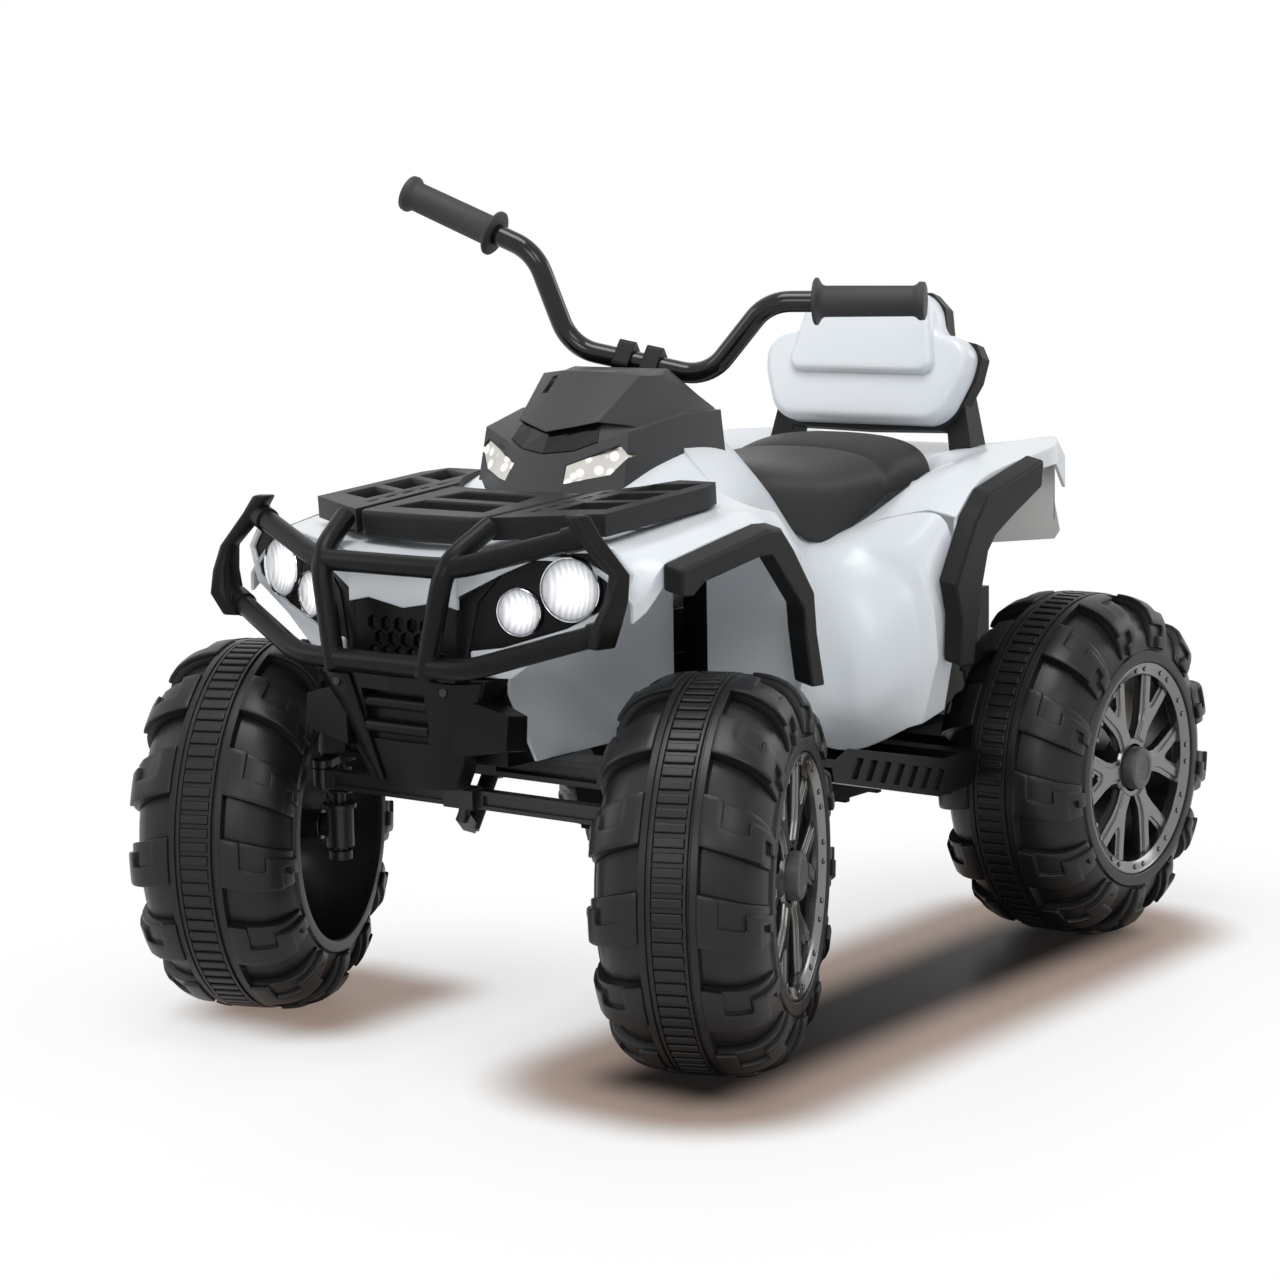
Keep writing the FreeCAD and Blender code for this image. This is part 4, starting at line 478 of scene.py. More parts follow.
class QuadFinish(bpy.types.PropertyGroup):
    """Colours of the bike's finishes."""
    body: bpy.props.FloatVectorProperty(name="Body", description="Gloss white of the body panels", subtype="COLOR",
                                        default=(0.79, 0.83, 0.865), min=0.0, max=1.0)
    trim: bpy.props.FloatVectorProperty(name="Trim", description="Dark grey of the luggage rack", subtype="COLOR",
                                        default=(0.021, 0.0212, 0.0218), min=0.0, max=1.0)
    tyre: bpy.props.FloatVectorProperty(name="Tyre", description="Black of the moulded tyres", subtype="COLOR",
                                        default=(0.0105, 0.0111, 0.012), min=0.0, max=1.0)
    black: bpy.props.FloatVectorProperty(name="Black", description="Black of bars, skid plate and footrests",
                                         subtype="COLOR", default=(0.006, 0.006, 0.0065), min=0.0, max=1.0)
    rim: bpy.props.FloatVectorProperty(name="Rim", description="Gunmetal of the rims", subtype="COLOR",
                                       default=(0.19, 0.194, 0.188), min=0.0, max=1.0)
    seat: bpy.props.FloatVectorProperty(name="Seat", description="Grey of the moulded saddle", subtype="COLOR",
                                        default=(0.022, 0.021, 0.0205), min=0.0, max=1.0)
    grip: bpy.props.FloatVectorProperty(name="Grip", description="Grey of the rubber grips", subtype="COLOR",
                                        default=(0.022, 0.022, 0.024), min=0.0, max=1.0)


class QuadTyre(bpy.types.PropertyGroup):
    """Tread of the moulded tyres."""
    lugs: bpy.props.IntProperty(name="Lugs", description="Tread blocks round each shoulder", default=13, min=6)
    ribs: bpy.props.IntProperty(name="Ribs", description="Cross ribs round the middle band", default=88, min=20)
    rib_height: bpy.props.FloatProperty(name="Rib Height", description="How far a rib stands up", default=0.002,
                                        unit="LENGTH", min=0.0)
    plate_height: bpy.props.FloatProperty(name="Plate Height", description="Step of the raised part of a tread block",
                                          default=0.0022, unit="LENGTH", min=0.0)


class QuadRim(bpy.types.PropertyGroup):
    """Spokes of the rims."""
    spokes: bpy.props.IntProperty(name="Spokes", description="Forked spokes in each rim", default=6, min=3)
    spoke_depth: bpy.props.FloatProperty(name="Spoke Depth", description="Thickness of a spoke", default=0.0105,
                                         unit="LENGTH", min=0.001)
    turn: bpy.props.FloatProperty(name="Turn", description="Degrees that the rims are turned at rest", default=30.0)


class QuadLamp(bpy.types.PropertyGroup):
    """Brightness of the lit lamps."""
    head: bpy.props.FloatProperty(name="Headlamps", description="Strength of the headlamps", default=1.1, min=0.0)
    strip: bpy.props.FloatProperty(name="Strips", description="Strength of the cowl's light strips", default=1.1,
                                   min=0.0)


# Tyres

TYRE_OUTER = (
    (0, 172.6), (13.2, 172.6), (13.8, 174.4), (16.2, 174.4), (16.8, 171.6), (18.4, 171.6), (19, 173.4), (25, 173),
    (26, 164.8), (40, 162.2), (54, 155.8), (64, 145.6), (70.2, 134.6), (73, 126), (74, 121), (76.6, 119.4),
    (77.2, 114), (76.8, 109.4), (75.6, 108.2), (72.5, 108.4), (72.5, 112.2),
)
TYRE_INNER = ((67, 112.2), (68, 124), (58, 142), (48, 150), (34, 156.6), (0, 160))
BLOCK_LINE = (
    (25, 173), (34, 172.4), (44, 170.4), (54, 166.6), (63, 160.8), (70, 152.6), (74.6, 142.6), (77, 132),
    (77.4, 123.6),
)
BLOCK_COLUMNS = 14
BLOCK_ROWS = 9
BLOCK_SHARE, BLOCK_SKEW = 0.53, 0.2
BLOCK_LIFT, BLOCK_THICKNESS, PLATE_THICKNESS = -1.6, 12.0, 5.0
RIB_SIZE, RIB_FOOT = (0.0262, 0.0078, 0.004), 0.1706
TYRE_STEPS, RIM_STEPS, HUB_STEPS = 104, 96, 48
PLATE_CELLS = (
    "###...........",
    "###...........",
    "###....#######",
    "###....#######",
    "###....###..##",
    "##########..##",
    "##########....",
    "##########....",
    "##########....",
)


def along_line(line, share):
    """Point and outward normal at a share of the length of an (axial, radial) line, in millimetres."""
    spans = [math.dist(p, q) for p, q in zip(line, line[1:])]
    left = share * sum(spans)
    for (p, q), span in zip(zip(line, line[1:]), spans):
        if left <= span or q == line[-1]:
            part = min(left / span, 1.0)
            tangent = ((q[0] - p[0]) / span, (q[1] - p[1]) / span)
            return (p[0] + part * (q[0] - p[0]), p[1] + part * (q[1] - p[1])), (-tangent[1], tangent[0])
        left -= span


def on_wheel(axial, radial, angle):
    """A point of a wheel about its own centre; angle 0 is at the top and grows towards the front."""
    return Vector((axial, -radial * math.sin(angle), radial * math.cos(angle))) * MM


def tread_block(cells, lift, thickness):
    """One shoulder block: a sheet over the shoulder, cut to the cells if there are any, thickened and bevelled."""
    pitch = 2.0 * math.pi / bpy.context.scene.quad_tyre.lugs
    points = []
    for row in range(BLOCK_ROWS + 1):
        line = []
        for column in range(BLOCK_COLUMNS + 1):
            share = column / BLOCK_COLUMNS
            (axial, radial), normal = along_line(BLOCK_LINE, share)
            angle = pitch * (BLOCK_SKEW * share + BLOCK_SHARE * row / BLOCK_ROWS)
            line.append(on_wheel(axial + normal[0] * lift, radial + normal[1] * lift, angle))
        points.append(line)
    lug = grid("tread_block", points)
    if cells:
        drop_faces(lug, lambda polygon: cells[polygon.index // BLOCK_COLUMNS][polygon.index % BLOCK_COLUMNS] == ".")
    edit(lug, outward)
    right_way(lug, lambda polygon: polygon.normal.dot(polygon.center.normalized()))
    modify(lug, "SOLIDIFY", thickness=thickness * MM, offset=-1.0)
    bevel(lug, 0.0012)
    smooth(lug, 30.0)
    return lug


def spun_ring(name, outline, steps, degrees=30.0):
    """A closed (axial, radial) outline in millimetres, spun about the wheel's axis, smooth up to degrees if any."""
    fresh()
    bpy.ops.mesh.primitive_circle_add(vertices=len(outline), radius=0.1)
    ring = take(name)
    for vertex, (axial, radial) in zip(ring.data.vertices, outline):
        vertex.co = on_wheel(axial, radial, 0.0)
    edit(ring, lambda: bpy.ops.mesh.spin(steps=steps, angle=2.0 * math.pi, center=(0, 0, 0), axis=(1, 0, 0)),
         merge, outward)
    if degrees:
        smooth(ring, degrees)
    return ring


def round_the_wheel(piece, count):
    """Copies of a piece at even steps about the wheel's axis, the first among them."""
    turns = [Matrix.Rotation(2.0 * math.pi * index / count, 4, "X") for index in range(1, count)]
    return [piece] + [duplicate(piece, piece.name, turn, False) for turn in turns]


class QUAD_OT_tyres(bpy.types.Operator):
    """Models one tyre with its ribbed band and stepped tread blocks, and fits it on each wheel"""
    bl_idname = "quad.tyres"
    bl_label = "Tyres"

    def execute(self, context):
        tread = context.scene.quad_tyre
        right = [(-axial, radial) for axial, radial in reversed(TYRE_OUTER[1:])]
        inside = list(TYRE_INNER) + [(-axial, radial) for axial, radial in reversed(TYRE_INNER[:-1])]
        carcass = spun_ring("tyre", right + list(TYRE_OUTER) + inside, TYRE_STEPS, 32.0)
        rib = block("tyre_rib", Matrix.Translation((0, 0, RIB_FOOT + tread.rib_height)), RIB_SIZE)
        modify(rib, "BEVEL", width=0.0011, segments=2)
        pieces = [carcass] + round_the_wheel(rib, tread.ribs)
        for cells, lift, thickness in ((None, BLOCK_LIFT, BLOCK_THICKNESS),
                                       (PLATE_CELLS, tread.plate_height / MM, PLATE_THICKNESS)):
            lug = tread_block(cells, lift, thickness)
            for shoulder in (lug, twin(lug)):
                pieces += round_the_wheel(shoulder, tread.lugs)
        tyre = joined("tyre", pieces)
        for wheel in WHEELS:
            fitted = duplicate(tyre, wheel + "_tread", wheel_matrix(wheel), wheel.endswith("right"))
            settle(fitted, "tyre_black", wheel + "_tyre", body=wheel + "_wheel")
        bpy.data.objects.remove(tyre)
        return {"FINISHED"}


# Rims

RIM_BARREL = (
    (-75.6, 108.5), (-75.6, 115.7), (-72.6, 115.7), (-72.6, 111.9), (72.2, 111.9), (72.2, 108), (75.2, 107.4),
    (75.8, 105.6), (74.6, 104), (72.6, 97.4), (70.6, 95.4), (61, 94.8), (61, 107), (-60, 108),
)
HUB_SHAPE = ((-57, 6.3), (-57, 14), (40, 14), (46, 30), (63, 31), (66, 29), (66, 24.4), (50, 23.4), (50, 6.3))
CAP_SHAPE = ((56, 1), (56, 21.8), (73.6, 21.8), (76.2, 20.4), (77, 18.4), (77, 14.6), (76.2, 13.6), (75.6, 1))
SPOKE_HALF = ((12, 27), (11.4, 44), (15, 56), (33, 97), (12.6, 97), (3, 74), (0, 70))
RIDGE_HALF = ((7, 30), (6.4, 46), (9.6, 58), (27, 94), (16.4, 95), (5, 70), (2, 66))
SPOKE_FACE, RIDGE_DEPTH = 0.0555, 0.003
BOLT_PLACE, BOLT_SPREAD, BOLT_SIZE = (0.0732, 0, 0.1008), 5.0, (6, 0.0026, 0.004)


def outline_plate(name, outline, depth, round_edge, segments=2):
    """A flat outline of points in metres on the plane z = 0, filled, drawn up by depth, its edges rounded."""
    fresh()
    bpy.ops.mesh.primitive_circle_add(vertices=len(outline), radius=0.1)
    plate = take(name)
    for vertex, (x, y) in zip(plate.data.vertices, outline):
        vertex.co = (x, y, 0.0)
    edit(plate, bpy.ops.mesh.edge_face_add,
         lambda: bpy.ops.mesh.extrude_region_move(TRANSFORM_OT_translate={"value": (0, 0, depth)}))
    edit(plate, outward)
    if round_edge > 0:
        bevel(plate, round_edge, segments, 50.0)
    smooth(plate, 40.0)
    modify(plate, "WEIGHTED_NORMAL", keep_sharp=True)
    return plate


def laid(plate, *rows):
    """Moves a plate by a matrix of these three rows and turns it right side out."""
    plate.data.transform(Matrix((*rows, (0, 0, 0, 1))))
    edit(plate, outward)
    return plate


class QUAD_OT_rims(bpy.types.Operator):
    """Models one rim with its barrel, forked spokes, flange bolts and hub, and fits it in each wheel"""
    bl_idname = "quad.rims"
    bl_label = "Rims"

    def execute(self, context):
        values = context.scene.quad_rim
        pieces = [spun_ring("rim", RIM_BARREL, RIM_STEPS), spun_ring("rim_hub", HUB_SHAPE, HUB_STEPS)]
        lay = Matrix(((0, 0, 1, SPOKE_FACE), (1, 0, 0, 0), (0, 1, 0, 0), (0, 0, 0, 1)))
        spoke = outline_plate("rim_spoke", metres(both(SPOKE_HALF)), values.spoke_depth, 0.0022)
        spoke.data.transform(lay)
        ridge = outline_plate("rim_ridge", metres(both(RIDGE_HALF)), RIDGE_DEPTH, 0.0011)
        ridge.data.transform(Matrix.Translation((values.spoke_depth - 0.001, 0, 0)) @ lay)
        for arm in (spoke, ridge):
            pieces += round_the_wheel(arm, values.spokes)
        bolt = rod("rim_bolt", *BOLT_SIZE)
        modify(bolt, "BEVEL", width=0.0006, segments=2)
        bolt.data.transform(Matrix.Translation(BOLT_PLACE) @ Matrix.Rotation(math.radians(90), 4, "Y"))
        for turn in (-BOLT_SPREAD, BOLT_SPREAD):
            one = duplicate(bolt, "rim_bolt", Matrix.Rotation(math.radians(turn), 4, "X"), False)
            pieces += round_the_wheel(one, 2 * values.spokes)
        bpy.data.objects.remove(bolt)
        rim = joined("rim", pieces)
        cap = spun_ring("cap", CAP_SHAPE, HUB_STEPS)
        for wheel in WHEELS:
            turn = wheel_matrix(wheel) @ Matrix.Rotation(math.radians(values.turn), 4, "X")
            for piece, name, slot, node in ((rim, "_spoked_rim", "gunmetal", "_rim"),
                                            (cap, "_centre_cap", "dark_grey", "_hub_cap")):
                fitted = duplicate(piece, wheel + name, turn, wheel.endswith("right"))
                settle(fitted, slot, wheel + node, body=wheel + "_wheel")
        bpy.data.objects.remove(rim)
        bpy.data.objects.remove(cap)
        return {"FINISHED"}


# Handlebar grips

def steered(point):
    """A point given with the wheels straight, turned with the handlebar to where it rests."""
    joint = next(entry for entry in frame["joints"] if entry["name"] == "steering")
    pivot = Vector(joint["pos_m"])
    turn = Matrix.Rotation(STEER_REST, 4, Vector(joint["axis"]))
    return pivot + turn @ (point - pivot)


GRIP_SHAPE = (
    (0, 10.2), (0, 20.5), (1.2, 22), (3.4, 22), (5, 19.4), (7, 16), (10, 14.6), (92, 14.2), (95, 15.2),
    (97.6, 17.6), (99.4, 18), (103, 17.4), (104, 15), (104, 2),
)
BAR_MIDDLE = (0.0, -76.06, 599.99)
GRIP_NEAR, GRIP_FAR, GRIP_LENGTH = (118.0, -12.0, 84.0), (258.0, 4.0, 112.0), 100.0
GRIP_RIBS, GRIP_RIB_DEPTH, RIBBED_RADII = 96, 0.022, (0.0138, 0.015)


class QUAD_OT_grips(bpy.types.Operator):
    """Models the rubber grips with a flange at each end and fine ribs along the hand"""
    bl_idname = "quad.grips"
    bl_label = "Grips"

    def execute(self, context):
        for side, label in ((1.0, "left"), (-1.0, "right")):
            near, far = (Vector(BAR_MIDDLE) + Vector((side * x, y, z)) for x, y, z in (GRIP_NEAR, GRIP_FAR))
            along = (far - near).normalized()
            start = steered(at(*(far - along * GRIP_LENGTH)))
            end = steered(at(*far))
            grip = spun_ring(label + "_hand_grip", GRIP_SHAPE, GRIP_RIBS, None)
            for vertex in grip.data.vertices:
                turn = math.atan2(vertex.co.y, vertex.co.z)
                if RIBBED_RADII[0] < math.hypot(vertex.co.y, vertex.co.z) < RIBBED_RADII[1]:
                    shrink = 1.0 - GRIP_RIB_DEPTH * (round(turn / (2.0 * math.pi) * GRIP_RIBS) % 2)
                    vertex.co.y *= shrink
                    vertex.co.z *= shrink
            smooth(grip, 50.0)
            turn = Vector((1, 0, 0)).rotation_difference(end - start).to_matrix().to_4x4()
            grip.data.transform(Matrix.Translation(start) @ turn)
            settle(grip, "grip_rubber", label + "_grip", body="steering")
        return {"FINISHED"}


# Lamps

NOSE_CORNER = (60.0, -424.0)
NOSE_SWEEP = math.radians(14.0)
LAMPS = ((170, 429, 28), (122, 408, 21))
# Look and outline of each part of a lamp: millimetres along its axis and shares of its radius
LAMP_PARTS = {
    "bezels": ("chrome_reflector", (
        (0.0, 0.90), (1.6, 0.93), (3.6, 0.97), (3.0, 0.99), (-10.0, 0.99), (-10.0, 0.90))),
    "glow": ("headlamp_lit", (
        (-9.0, 0.0), (-4.0, 0.3), (-1.4, 0.62), (1.8, 0.86), (1.8, 0.9), (-9.0, 0.9))),
    "covers": ("lamp_clear", (
        (5.6, 0.0), (5.2, 0.4), (3.9, 0.72), (2.4, 0.9), (1.6, 0.9), (3.0, 0.7), (4.4, 0.36), (4.8, 0.0))),
}
LAMP_STEPS = 48


def on_nose(side, x, depth, z):
    """A point of the swept nose face: x and z in front view, depth behind the face."""
    run = x - NOSE_CORNER[0]
    return at(side * (NOSE_CORNER[0] + run * math.cos(NOSE_SWEEP) - depth * math.sin(NOSE_SWEEP)),
              NOSE_CORNER[1] + run * math.sin(NOSE_SWEEP) + depth * math.cos(NOSE_SWEEP), z)


def lamp_matrix(side, x, z):
    """Takes a lamp modelled about the X axis, facing +X, to its socket."""
    facing = (on_nose(side, x, -1.0, z) - on_nose(side, x, 0.0, z)).normalized()
    turn = Vector((1, 0, 0)).rotation_difference(facing).to_matrix().to_4x4()
    return Matrix.Translation(on_nose(side, x, 0.0, z)) @ turn


class QUAD_OT_lamps(bpy.types.Operator):
    """Models the four round headlamps: bezel, lit reflector and clear cover"""
    bl_idname = "quad.lamps"
    bl_label = "Headlamps"

    def execute(self, context):
        for part, (made_of, shape) in LAMP_PARTS.items():
            name = "headlamp_" + part
            copies = []
            for x, z, radius in LAMPS:
                lamp = spun_ring(name, [(axial, share * radius) for axial, share in shape], LAMP_STEPS)
                layer = lamp.data.attributes.new("share", "FLOAT", "POINT")
                for vertex in lamp.data.vertices:
                    layer.data[vertex.index].value = math.hypot(vertex.co.y, vertex.co.z) / (radius * MM)
                copies += [duplicate(lamp, name, lamp_matrix(side, x, z), False) for side in (1.0, -1.0)]
                bpy.data.objects.remove(lamp)
            nodes = ("lamp_lenses",) if part == "glow" else ()
            settle(joined(name, copies), "lamp_clear", *nodes, made_of=made_of)
        return {"FINISHED"}


# Seat and backrest

SEAT_ROWS = (
    (-36, 504, 474, 0.9), (-20, 508, 462, 0.95), (10, 506, 440, 0.98), (60, 500, 422, 1), (93, 497, 412, 1),
    (120, 497, 422, 1), (150, 498, 436, 1), (184, 501, 449, 1), (197, 500, 453, 1), (203, 495, 455, 1),
    (209, 500, 456, 1), (222, 506, 458, 1), (262, 512, 462, 1), (284, 507, 464, 0.97), (288, 498, 464, 0.96),
)
SEAT_HALF = ((0, 0), (26, -0.4), (52, -2), (78, -6), (96, -14), (103, -24), (105, -34))
SEAT_EDGE, SEAT_WALL = 105.0, 0.004
GROOVE_Y, GROOVE_BEND, GROOVE_SPAN = 203.0, 6.0, (190.0, 215.0)


class QUAD_OT_seat(bpy.types.Operator):
    """Models the moulded saddle: crowned top, groove across the rear third, skirts that dip to a point"""
    bl_idname = "quad.seat"
    bl_label = "Seat"

    def execute(self, context):
        rows = []
        for y, crown, skirt, share in SEAT_ROWS:
            half = [(x * share, crown + drop) for x, drop in SEAT_HALF]
            foot = min(skirt, half[-1][1] - 2.0)
            half += [(SEAT_EDGE * share, (half[-1][1] + foot) / 2), ((SEAT_EDGE - 0.4) * share, foot)]
            bend = GROOVE_BEND if GROOVE_SPAN[0] < y < GROOVE_SPAN[1] else 0.0
            rows.append(mirrored([(x, y - bend * (x / SEAT_EDGE) ** 2, z) for x, z in half]))
        seat = grid("moulded_seat", rows)
        edit(seat, outward)

        def in_groove(first, second):
            middle = (first.y + second.y) / 2 / MM - SHIFT_Y
            return abs(middle - GROOVE_Y) < 4.0 and abs(first.y - second.y) < 0.004 and first.z > 0.48

        crease(seat, 0.7, in_groove)
        subdivide(seat)
        right_way(seat)
        modify(seat, "SOLIDIFY", thickness=SEAT_WALL, offset=-1.0)
        smooth(seat, 50.0)
        settle(seat, "seat_grey", "seat")
        return {"FINISHED"}


BACK_HALF = ((90, 0), (108, 12), (125, 52), (127, 76), (112, 92), (86, 96), (76, 126), (58, 141))
PAD_HALF = ((80, 50), (90, 60), (74, 130), (66, 136))
BACK_TILT, BACK_FOOT = math.radians(15.6), (0, 297.0, 520.0)


def on_back():
    """Stands a plate, modelled flat with its face to -Z, on the backrest's rake."""
    upright = Matrix(((1, 0, 0, 0), (0, 0, 1, 0), (0, 1, 0, 0), (0, 0, 0, 1)))
    return tilted(BACK_FOOT, -BACK_TILT) @ upright


CUSHION_STEPS, ARC_STEPS = 5, 5
CROWN_SHARES = (0.85, 0.6, 0.3, 0.001)


def corner_arc(before, here, after, reach):
    """Points round a corner, from reach before it to reach after it."""
    back, ahead = before - here, after - here
    reach = min(reach, 0.45 * back.length, 0.45 * ahead.length)
    start, end = here + back.normalized() * reach, here + ahead.normalized() * reach
    steps = [step / ARC_STEPS for step in range(ARC_STEPS + 1)]
    return [start * (1 - t) ** 2 + here * 2 * t * (1 - t) + end * t ** 2 for t in steps]


def rounded_outline(corners, radius):
    """A closed outline through corner points, each corner replaced by an arc."""
    points = []
    for index, corner in enumerate(corners):
        here = Vector(corner)
        points += corner_arc(Vector(corners[index - 1]), here, Vector(corners[(index + 1) % len(corners)]), radius)
    return points


def drawn_in(points, inset):
    """The outline moved inwards, square to its edges; the outline runs against the clock."""
    moved = []
    for index, here in enumerate(points):
        along = (points[(index + 1) % len(points)] - points[index - 1]).normalized()
        moved.append(here + Vector((-along.y, along.x)) * inset)
    return moved


def cushion(name, half, depth, corner, edge, lift):
    """A plate with a soft border, symmetric about its middle, that rises from its back at lift towards -Z."""
    border = rounded_outline(metres(both(half)), corner)
    rings = [[(*point, lift) for point in border]]
    for step in range(CUSHION_STEPS + 1):
        angle = math.pi / 2 * step / CUSHION_STEPS
        level = lift - depth + edge * (1 - math.sin(angle))
        rings.append([(*point, level) for point in drawn_in(border, edge * (1 - math.cos(angle)))])
    middle = sum(border, Vector((0, 0))) / len(border)
    crown = drawn_in(border, edge)
    for share in CROWN_SHARES:
        rings.append([(*(middle + (point - middle) * share), lift - depth) for point in crown])
    plate = grid(name, [ring + ring[:1] for ring in rings])
    edit(plate, merge, outward)
    smooth(plate, 70.0)
    return plate


class QUAD_OT_backrest(bpy.types.Operator):
    """Models the white backrest panel with its raised head pad"""
    bl_idname = "quad.backrest"
    bl_label = "Backrest"

    def execute(self, context):
        front = cushion("backrest_front", BACK_HALF, depth=0.0235, corner=0.016, edge=0.010, lift=0.0238)
        pad = cushion("backrest_pad", PAD_HALF, depth=0.021, corner=0.009, edge=0.007, lift=0.012)
        whole = joined("backrest_front", [front, pad])
        whole.data.transform(on_back())
        edit(whole, outward)
        settle(whole, "white_gloss", "backrest_panel")
        return {"FINISHED"}


# Body panels

FRONT_ROWS = (
    (-424, ((0, 450), (60, 452.5), (92, 454), (150, 458), (190, 451), (222, 418), (222, 402))),
    (-408, ((0, 453), (60, 455.5), (92, 457), (150, 461), (194, 455), (225, 428), (225, 410))),
    (-345, ((0, 456), (60, 459), (92, 460), (150, 463), (206, 460), (228, 450), (228, 432))),
    (-300, ((0, 460), (60, 463), (92, 464), (150, 466), (208, 466), (228, 458), (228, 442))),
    (-240, ((0, 480), (60, 483), (88, 484), (140, 470), (208, 475), (228, 468), (228, 452))),
    (-196, ((0, 500), (60, 504), (90, 506), (138, 474), (206, 480), (228, 471), (228, 455))),
    (-138.3, ((0, 526), (60, 528), (92, 528), (140, 480), (200, 472), (226, 436), (227, 420))),
)
CENTRE_ROWS = (
    (-138, ((0, 541), (82, 539), (97, 527), (140, 479), (196, 472), (224, 420), (232, 350), (222, 300))),
    (-96, ((0, 544), (80, 541), (100, 522), (134, 474), (180, 440), (206, 384), (214, 318), (204, 268))),
    (-55, ((0, 542), (78, 538), (102, 508), (128, 452), (164, 402), (190, 344), (196, 290), (188, 246))),
    (-12, ((0, 500), (80, 498), (104, 480), (118, 428), (148, 372), (172, 316), (180, 268), (174, 232))),
    (40, ((0, 428), (88, 428), (104, 418), (116, 398), (142, 356), (168, 306), (176, 258), (170, 222))),
    (66, ((0, 424), (89, 424), (104, 417), (120, 404), (152, 376), (184, 330), (190, 276), (180, 228))),
    (90, ((0, 424), (90, 424), (104, 419), (128, 414), (172, 400), (206, 372), (210, 300), (196, 240))),
    (97, ((0, 424), (91, 424), (105, 421), (132, 420), (182, 414), (220, 396), (226, 310), (208, 244))),
    (128, ((0, 424), (92, 424), (108, 428), (150, 440), (196, 450), (227, 444), (228, 330), (214, 254))),
)
REAR_ROWS = (
    (128.3, ((0, 424), (92, 424), (108, 428), (150, 440), (196, 450), (228, 444), (228, 430))),
    (157, ((0, 424), (92, 424), (108, 436), (150, 460), (192, 474), (228, 470), (228, 454))),
    (190, ((0, 424), (92, 424), (108, 446), (150, 480), (190, 490), (228, 484), (228, 468))),
    (285, ((0, 424), (92, 426), (110, 464), (150, 490), (190, 500), (228, 494), (228, 478))),
    (300, ((0, 484), (92, 485), (110, 489), (150, 494), (190, 501), (228, 496), (228, 478))),
    (340, ((0, 486), (92, 488), (110, 492), (150, 496), (188, 502), (222, 498), (222, 480))),
    (440, ((0, 486), (80, 488), (100, 490), (130, 494), (150, 498), (162, 498), (162, 470))),
    (478, ((0, 466), (76, 468), (96, 470), (124, 474), (142, 476), (152, 474), (152, 440))),
)
FOLD_ROW = 6
NOSE_STEP = 14.0
SHELL, PLATE_EDGE = 0.0035, 0.001


def panel(name, rows, nose=False):
    """A body skin through cross sections: each half outline from the middle out, and its mirror image."""
    points = []
    for number, (y, half) in enumerate(rows):
        line = []
        for x, z in half:
            swept = NOSE_CORNER[1] + max(x - NOSE_CORNER[0], 0.0) * math.tan(NOSE_SWEEP) + NOSE_STEP * number
            line.append((x, max(y, swept) if nose else y, z))
        points.append(mirrored(line))
    skin = grid(name, points)
    edit(skin, outward)
    right_way(skin)
    return skin


def thicken(skin):
    """Rounds a skin by subdivision, its open border held, and gives it the wall of the moulding."""
    uses = {}
    for polygon in skin.data.polygons:
        for key in polygon.edge_keys:
            uses[key] = uses.get(key, 0) + 1
    layer = crease_layer(skin)
    for edge in skin.data.edges:
        if uses[edge.key] == 1:
            layer.data[edge.index].value = 1.0
    subdivide(skin)
    modify(skin, "SOLIDIFY", thickness=SHELL, offset=-1.0)
    smooth(skin, 40.0)


def side_plates(name, outline, x):
    """An upright plate along the bike from (y, z) points, with its outer face at x, and its twin at -x."""
    plates = []
    for side in (1.0, -1.0):
        plate = outline_plate(name, metres(outline), SHELL, PLATE_EDGE)
        plates.append(laid(plate, (0, 0, side, side * x * MM - side * SHELL), (1, 0, 0, SHIFT_Y * MM), (0, 1, 0, 0)))
    return plates


def cross_plate(name, half, y):
    """An upright plate across the bike from a half outline of (x, z) points, with its front face at y."""
    plate = outline_plate(name, metres(both(half)), SHELL, PLATE_EDGE)
    return laid(plate, (1, 0, 0, 0), (0, 0, 1, (y + SHIFT_Y) * MM), (0, 1, 0, 0))


CHEEK = (
    (150, 464), (210, 466), (228, 444), (216, 412), (165, 386), (126, 360), (112, 349.5), (72, 349.5), (66, 366),
    (62, 408), (62, 453),
)
POD_HOLE = (
    (50, 353), (74, 353), (74, 372), (104, 376), (165, 395), (210, 418), (221, 443), (207, 461), (150, 459),
    (106, 440), (50, 412),
)
BROW = ((0, 450), (63, 453), (63, 407), (40, 412), (0, 405))
FRONT_ARCH = (
    (-395.4, 450), (-395.4, 332), (-360, 268.3), (-156, 268.3), (-156, 446), (-146, 450), (-146, 518), (-196, 498),
    (-240, 476), (-300, 458), (-345, 454),
)
REAR_ARCH = (
    (130, 432), (130, 300), (196, 372), (270, 398), (330, 394), (474, 384), (486, 392), (474, 424), (474, 468),
    (440, 492), (300, 488), (285, 478), (190, 470), (157, 448),
)
TAIL = ((0, 466), (96, 469), (142, 474), (142, 404), (90, 384), (0, 380))
ARCH_BACK_FOOT = ((120, 300), (120, 440), (92.3, 446), (92.3, 470), (0, 470))
FRONT_ARCH_X, REAR_ARCH_X, BROW_Y, TAIL_Y, ARCH_BACK_Y = 95.8, 142.0, -424.0, 470.5, -137.6
# Place and size of a dark plate that paints the shade of the gap at the back of each front wheel arch
ARCH_PAINTED_SHADE, ARCH_PAINTED_SHADE_SIZE = (106.0, -129.0, 385.0), (0.036, 0.002, 0.15)
BRIDGE = ((58.6, 350), (71.4, 350), (71.4, 372), (81.2, 414.4), (103, 438.6), (58.6, 414))


